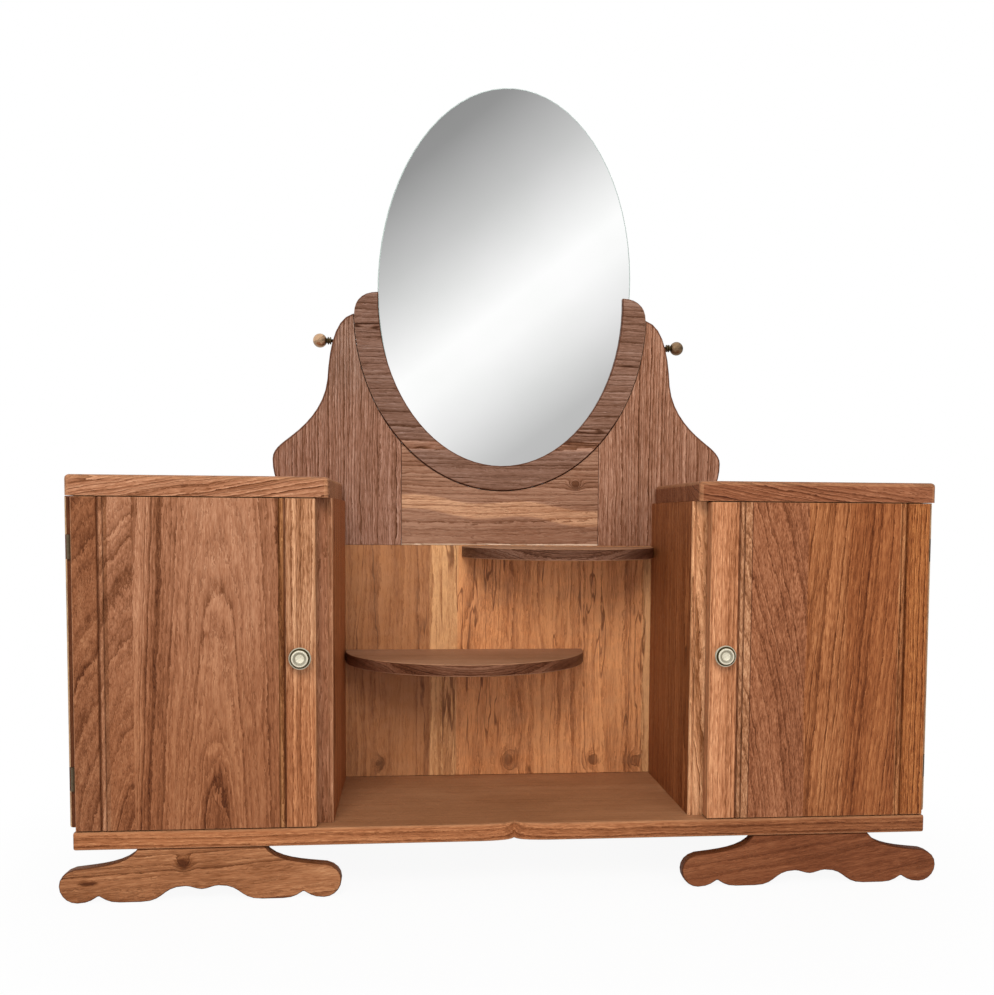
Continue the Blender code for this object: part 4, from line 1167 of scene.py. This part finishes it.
def mirror_board(node_name):
    """A wing with a rounded outline darkened partly as stain and partly as painted shade, or the centre
    board, with arrises eased above their feet that take the arris tint.
    """
    sizes = bpy.context.scene.dressing_table_sizes
    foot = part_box(node_name)[0].z + CLEAR
    piece = swell_rim(copy_of(node_name), -sizes.crown)
    at_faces = at_ends(piece, "Y")

    def above_foot(first, second):
        return at_faces(first, second) and max(first.z, second.z) > foot

    def outline(first, second):
        outside = max(reach_of(first), reach_of(second)) > 1.03
        return above_foot(first, second) and outside and max(abs(first.x), abs(second.x)) > 0.16

    # The wings' outline is darkened partly as stain and partly as painted shade on its rounding
    if "wing" in node_name:
        ease(piece, sizes.dark_edge, 3, outline, "hollow", 0.7)
    return ease(piece, 0.6 * sizes.arris, 2, above_foot)


class DRESSING_OT_mirror_board(bpy.types.Operator):
    """Centre board, two wings and the batten behind them"""

    bl_idname = "dressing.mirror_board"
    bl_label = "Mirror Board"

    def execute(self, context):
        for part in ("left_wing", "right_wing", "centre"):
            name = f"mirror_board_{part}"
            dress(mirror_board(name), name, "greyed_oak", oak_for(name))
        batten = "mirror_board_batten"
        dress(board(batten), batten, "greyed_oak", inner_wood(batten, "X", "Y", 57.0))
        return {"FINISHED"}


def crescent():
    """The mirror's carrier: painted shade darkens the sight edge round the glass and the lower rim."""
    sizes = bpy.context.scene.dressing_table_sizes
    dark_below = HOLLOW[0].z - 0.62 * HOLLOW[2]
    piece = swell_rim(copy_of("mirror_crescent"), sizes.crown)
    at_faces = at_ends(piece, "Y")

    def sight_edge(first, second):
        return at_faces(first, second) and max(reach_of(first), reach_of(second)) < 0.975

    def lower_rim(first, second):
        return at_faces(first, second) and max(first.z, second.z) < dark_below

    # Painted shade along the sight edge, where the glass meets the carrier
    ease(piece, sizes.arris, 2, sight_edge, "hollow", 0.7)
    # Painted shade along the lower rim, which stands proud of the board
    ease(piece, sizes.dark_edge, 3, lower_rim, "hollow", 0.75)
    return ease(piece, sizes.arris, 2, at_ends(piece, "Y"))


class DRESSING_OT_mirror(bpy.types.Operator):
    """Crescent, silvered glass and backing, which tilt together"""

    bl_idname = "dressing.mirror"
    bl_label = "Mirror"

    def execute(self, context):
        dress(crescent(), "mirror_crescent", "greyed_oak", oak_for("mirror_crescent"))
        glass = copy_of("mirror_glass")
        dress(glass, "mirror_glass", "silvered_glass", silvered_glass(), ground_glass())
        use_second(glass, lambda face: abs(face.normal.y) <= 0.95)
        backing = "mirror_backing"
        wood = inner_wood(backing, "Z", "Y", 63.0)
        dress(eased_copy(backing, BACKING_EASE, "Y"), backing, "inner_wood", wood)
        return {"FINISHED"}


# A tilt screw's ball, and its neck and collar behind it: radius and place along the screw, in its own radii
BALL = 1.15
SCREW_NECK = ((0.40, -1.10), (0.40, -1.22), (0.62, -1.28), (0.62, -1.44), (0.40, -1.50), (0.40, -1.62))
SCREW_NECK += ((0.60, -1.62), (0.60, -1.825), (0.30, -1.825))
# Its thread: the pitch, and how far the root and the crest lie into each turn, in metres
PITCH = 0.0012
ROOT = 0.0004
CREST = 0.0010


def tilt_screw(node_name, side):
    """A ball-ended screw, darkened at its neck by film and painted shade behind the ball; the right one has
    dulled all over.
    """
    low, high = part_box(node_name)
    r = (high.z - low.z) / 2
    ball = BALL * r
    tip = high.x if side > 0 else low.x
    centre = (tip - side * r, (low.y + high.y) / 2, (low.z + high.z) / 2)
    tail = r - (high.x - low.x)
    profile = [(0.0, ball)]
    for step in range(1, 17):
        angle = math.radians(90 - 152 / 16 * step)
        profile.append((max(ball * math.cos(angle), 0.0), ball * math.sin(angle)))
    profile += [(out * r, reach * r) for out, reach in SCREW_NECK]
    thread = profile[-1][1]
    while thread - PITCH > tail + PITCH / 2:
        profile += [(0.25 * r, thread - ROOT), (0.30 * r, thread - CREST)]
        thread -= PITCH
    profile += [(0.24 * r, tail), (0.0, tail)]
    screw = turned(f"{node_name}_finished", profile, centre, AXES["X"] * side)
    shape = edit(screw)
    if side > 0:
        mark(shape, lambda face: True, "hollow", 0.4)
    # The neck behind the ball: partly film, partly painted shade
    mark(shape, lambda face: side * (face.calc_center_median().x - centre[0]) < -0.9 * r, "hollow", 0.7)
    return leave(screw)


class DRESSING_OT_tilt_screws(bpy.types.Operator):
    """Ball-ended screws that hold the mirror's tilt"""

    bl_idname = "dressing.tilt_screws"
    bl_label = "Tilt Screws"

    def execute(self, context):
        copper = bpy.data.materials["coppery_brass"]
        for side_name, side in SIDES.items():
            name = f"{side_name}_tilt_screw"
            dress(tilt_screw(name, side), name, "aged_brass", copper)
        return {"FINISHED"}


# What mirrors and metal see of the studio, from the floor up
SWEEP_STOPS = ((0.0, "#4a4a4a"), (0.409, "#bfbfbf"), (0.46, "#e8e8e8"), (0.498, "#fcfcfc"))
SWEEP_STOPS += ((0.524, "#ffffff"), (0.549, "#f1f1f1"), (0.601, "#c9c9c9"), (0.665, "#949494"))
SWEEP_STOPS += ((0.75, "#868686"), (0.83, "#f4f4f4"))
# Which way the sweep rises, and between which levels
SWEEP_WAY = (-0.75, 0.0, 1.0)
SWEEP_RANGE = (-0.5, 0.7)
# Where the floor turns white, in metres from its middle, and how white it is before that
FLOOR_FADE = (0.45, 0.9)
FLOOR_WHITE = 0.93
WHITE = (1.0, 1.0, 1.0, 1.0)
FILL_LIGHT = (0.42, 0.42, 0.42, 1.0)


def studio_world(scene):
    """White to the eye, an even fill on matt surfaces, and a soft grey and white sweep in mirrors."""
    world = bpy.data.worlds.new("studio")
    scene.world = world
    world.use_nodes = True
    add = functools.partial(add_node, world.node_tree)
    eye = add("LightPath", out="Is Camera Ray")
    gloss = add("LightPath", out="Is Glossy Ray")
    through = add("LightPath", out="Is Transmission Ray")
    seen = add("Math", [gloss, through], "MAXIMUM")
    ray = add("TexCoord", out="Generated")
    rise = add("VectorMath", [ray, SWEEP_WAY], "DOT_PRODUCT", out="Value")
    level = add("MapRange", [rise, *SWEEP_RANGE])
    sweep = add("ValToRGB", [level], stops=SWEEP_STOPS)
    colour = add("Mix", {0: seen, 6: FILL_LIGHT, 7: sweep}, **COLOUR_MIX)
    colour = add("Mix", {0: eye, 6: colour, 7: WHITE}, **COLOUR_MIX)
    fill(world.node_tree.nodes["Background"], {"Color": colour})


def studio_floor():
    """A pale floor: it keeps the table's soft shadow, fades to white away from it, and is grey in mirrors."""
    bpy.ops.object.select_all(action="DESELECT")
    bpy.ops.mesh.primitive_plane_add(size=30.0, location=(0.0, 0.0, -0.0002))
    floor = bpy.context.object
    bpy.ops.object.transform_apply(location=True, rotation=True, scale=True)
    floor.name = "studio_floor"
    material, add, shader = new_material("pale_floor")
    tint = (*bpy.context.scene.dressing_table_colours.floor, 1.0)
    fill(shader, {"Base Color": tint, "Roughness": 0.9, "Specular IOR Level": 0.0})
    place = add("TexCoord", out="Object")
    far = add("VectorMath", [place], "LENGTH", out="Value")
    far = add("MapRange", [far, *FLOOR_FADE, FLOOR_WHITE, 1.0], interpolation_type="SMOOTHSTEP")
    eye = add("LightPath", out="Is Camera Ray")
    far = add("Math", [far, eye], "MULTIPLY")
    white = add("Emission", {"Color": WHITE, "Strength": 1.0})
    mixed = add("MixShader", [far, shader.outputs[0], white])
    gloss = add("LightPath", out="Is Glossy Ray")
    dim = add("Emission", {"Color": "#b4b4b4", "Strength": 1.0})
    mixed = add("MixShader", [gloss, mixed, dim])
    fill(material.node_tree.nodes["Material Output"], {"Surface": mixed})
    floor.data.materials.append(material)


def soft_lamp(name, place, target, size, power):
    """A round area lamp that isn't seen in mirrors and metal."""
    bpy.ops.object.light_add(type="AREA", location=place)
    lamp = bpy.context.object
    lamp.name = name
    lamp.data.shape = "DISK"
    lamp.data.size = size
    lamp.data.energy = power
    lamp.visible_glossy = False
    lamp.rotation_euler = (Vector(target) - Vector(place)).to_track_quat("-Z", "Y").to_euler()
    return lamp


class DRESSING_OT_stage(bpy.types.Operator):
    """Camera, soft lamps, pale floor and white surroundings"""

    bl_idname = "dressing.stage"
    bl_label = "Studio"

    def execute(self, context):
        scene = context.scene
        scene.view_settings.view_transform = "Standard"
        studio_world(scene)
        studio_floor()
        soft_lamp("key_lamp", (-0.5, -2.6, 2.3), (0.0, 0.0, 0.45), size=1.6, power=62.0)
        soft_lamp("fill_lamp", (1.2, -2.8, 1.0), (0.0, 0.0, 0.5), size=1.6, power=18.0)
        pose = Matrix.Translation(CAMERA_PLACE) @ Matrix.Rotation(-CAMERA_YAW, 4, "Z")
        pose @= Matrix.Rotation(math.pi / 2 + CAMERA_PITCH, 4, "X")
        pose @= Matrix.Rotation(CAMERA_ROLL, 4, "Z")
        bpy.ops.object.camera_add()
        camera = context.object
        camera.matrix_world = pose
        camera.data.sensor_fit = "HORIZONTAL"
        camera.data.lens = CAMERA_LENS
        camera.data.shift_x, camera.data.shift_y = CAMERA_SHIFT
        scene.camera = camera
        return {"FINISHED"}


class DRESSING_OT_metals(bpy.types.Operator):
    """Brass, coppery brass and iron of the fittings"""

    bl_idname = "dressing.metals"
    bl_label = "Metals"

    def execute(self, context):
        colours = context.scene.dressing_table_colours
        film = colours.patina
        metal("patinated_brass", colours.brass, film, shine=0.45, roughness=0.22, film_level=0.08)
        metal("coppery_brass", colours.copper, film, shine=0.9, roughness=0.18, film_level=0.3)
        metal("browned_iron", colours.iron, film, shine=0.65, roughness=0.45, film_level=0.6)
        return {"FINISHED"}


OPERATORS = (
    DRESSING_OT_stage,
    DRESSING_OT_metals,
    DRESSING_OT_base,
    DRESSING_OT_cabinets,
    DRESSING_OT_niche,
    DRESSING_OT_doors,
    DRESSING_OT_knobs,
    DRESSING_OT_hinges,
    DRESSING_OT_catches,
    DRESSING_OT_mirror_board,
    DRESSING_OT_mirror,
    DRESSING_OT_tilt_screws,
)


class DRESSING_PT_sidebar(bpy.types.Panel):
    """Sizes, colours and building steps of the dressing table"""

    bl_idname = "DRESSING_PT_sidebar"
    bl_label = "Dressing Table"
    bl_space_type = "VIEW_3D"
    bl_region_type = "UI"
    bl_category = "Dressing Table"

    def draw(self, context):
        layout = self.layout
        for group in (context.scene.dressing_table_sizes, context.scene.dressing_table_colours):
            for key in group.bl_rna.properties.keys():
                if key not in ("rna_type", "name"):
                    layout.prop(group, key)
        for operator in OPERATORS:
            layout.operator(operator.bl_idname)


CLASSES = (DressingTableSizes, DressingTableColours, *OPERATORS, DRESSING_PT_sidebar)


def register():
    for item in CLASSES:
        bpy.utils.register_class(item)
    bpy.types.Scene.dressing_table_sizes = bpy.props.PointerProperty(type=DressingTableSizes)
    bpy.types.Scene.dressing_table_colours = bpy.props.PointerProperty(type=DressingTableColours)


def unregister():
    del bpy.types.Scene.dressing_table_colours
    del bpy.types.Scene.dressing_table_sizes
    for item in reversed(CLASSES):
        bpy.utils.unregister_class(item)


def main():
    register()
    for operator in OPERATORS:
        group, action = operator.bl_idname.split(".")
        getattr(getattr(bpy.ops, group), action)()


if __name__ == "__main__":
    main()
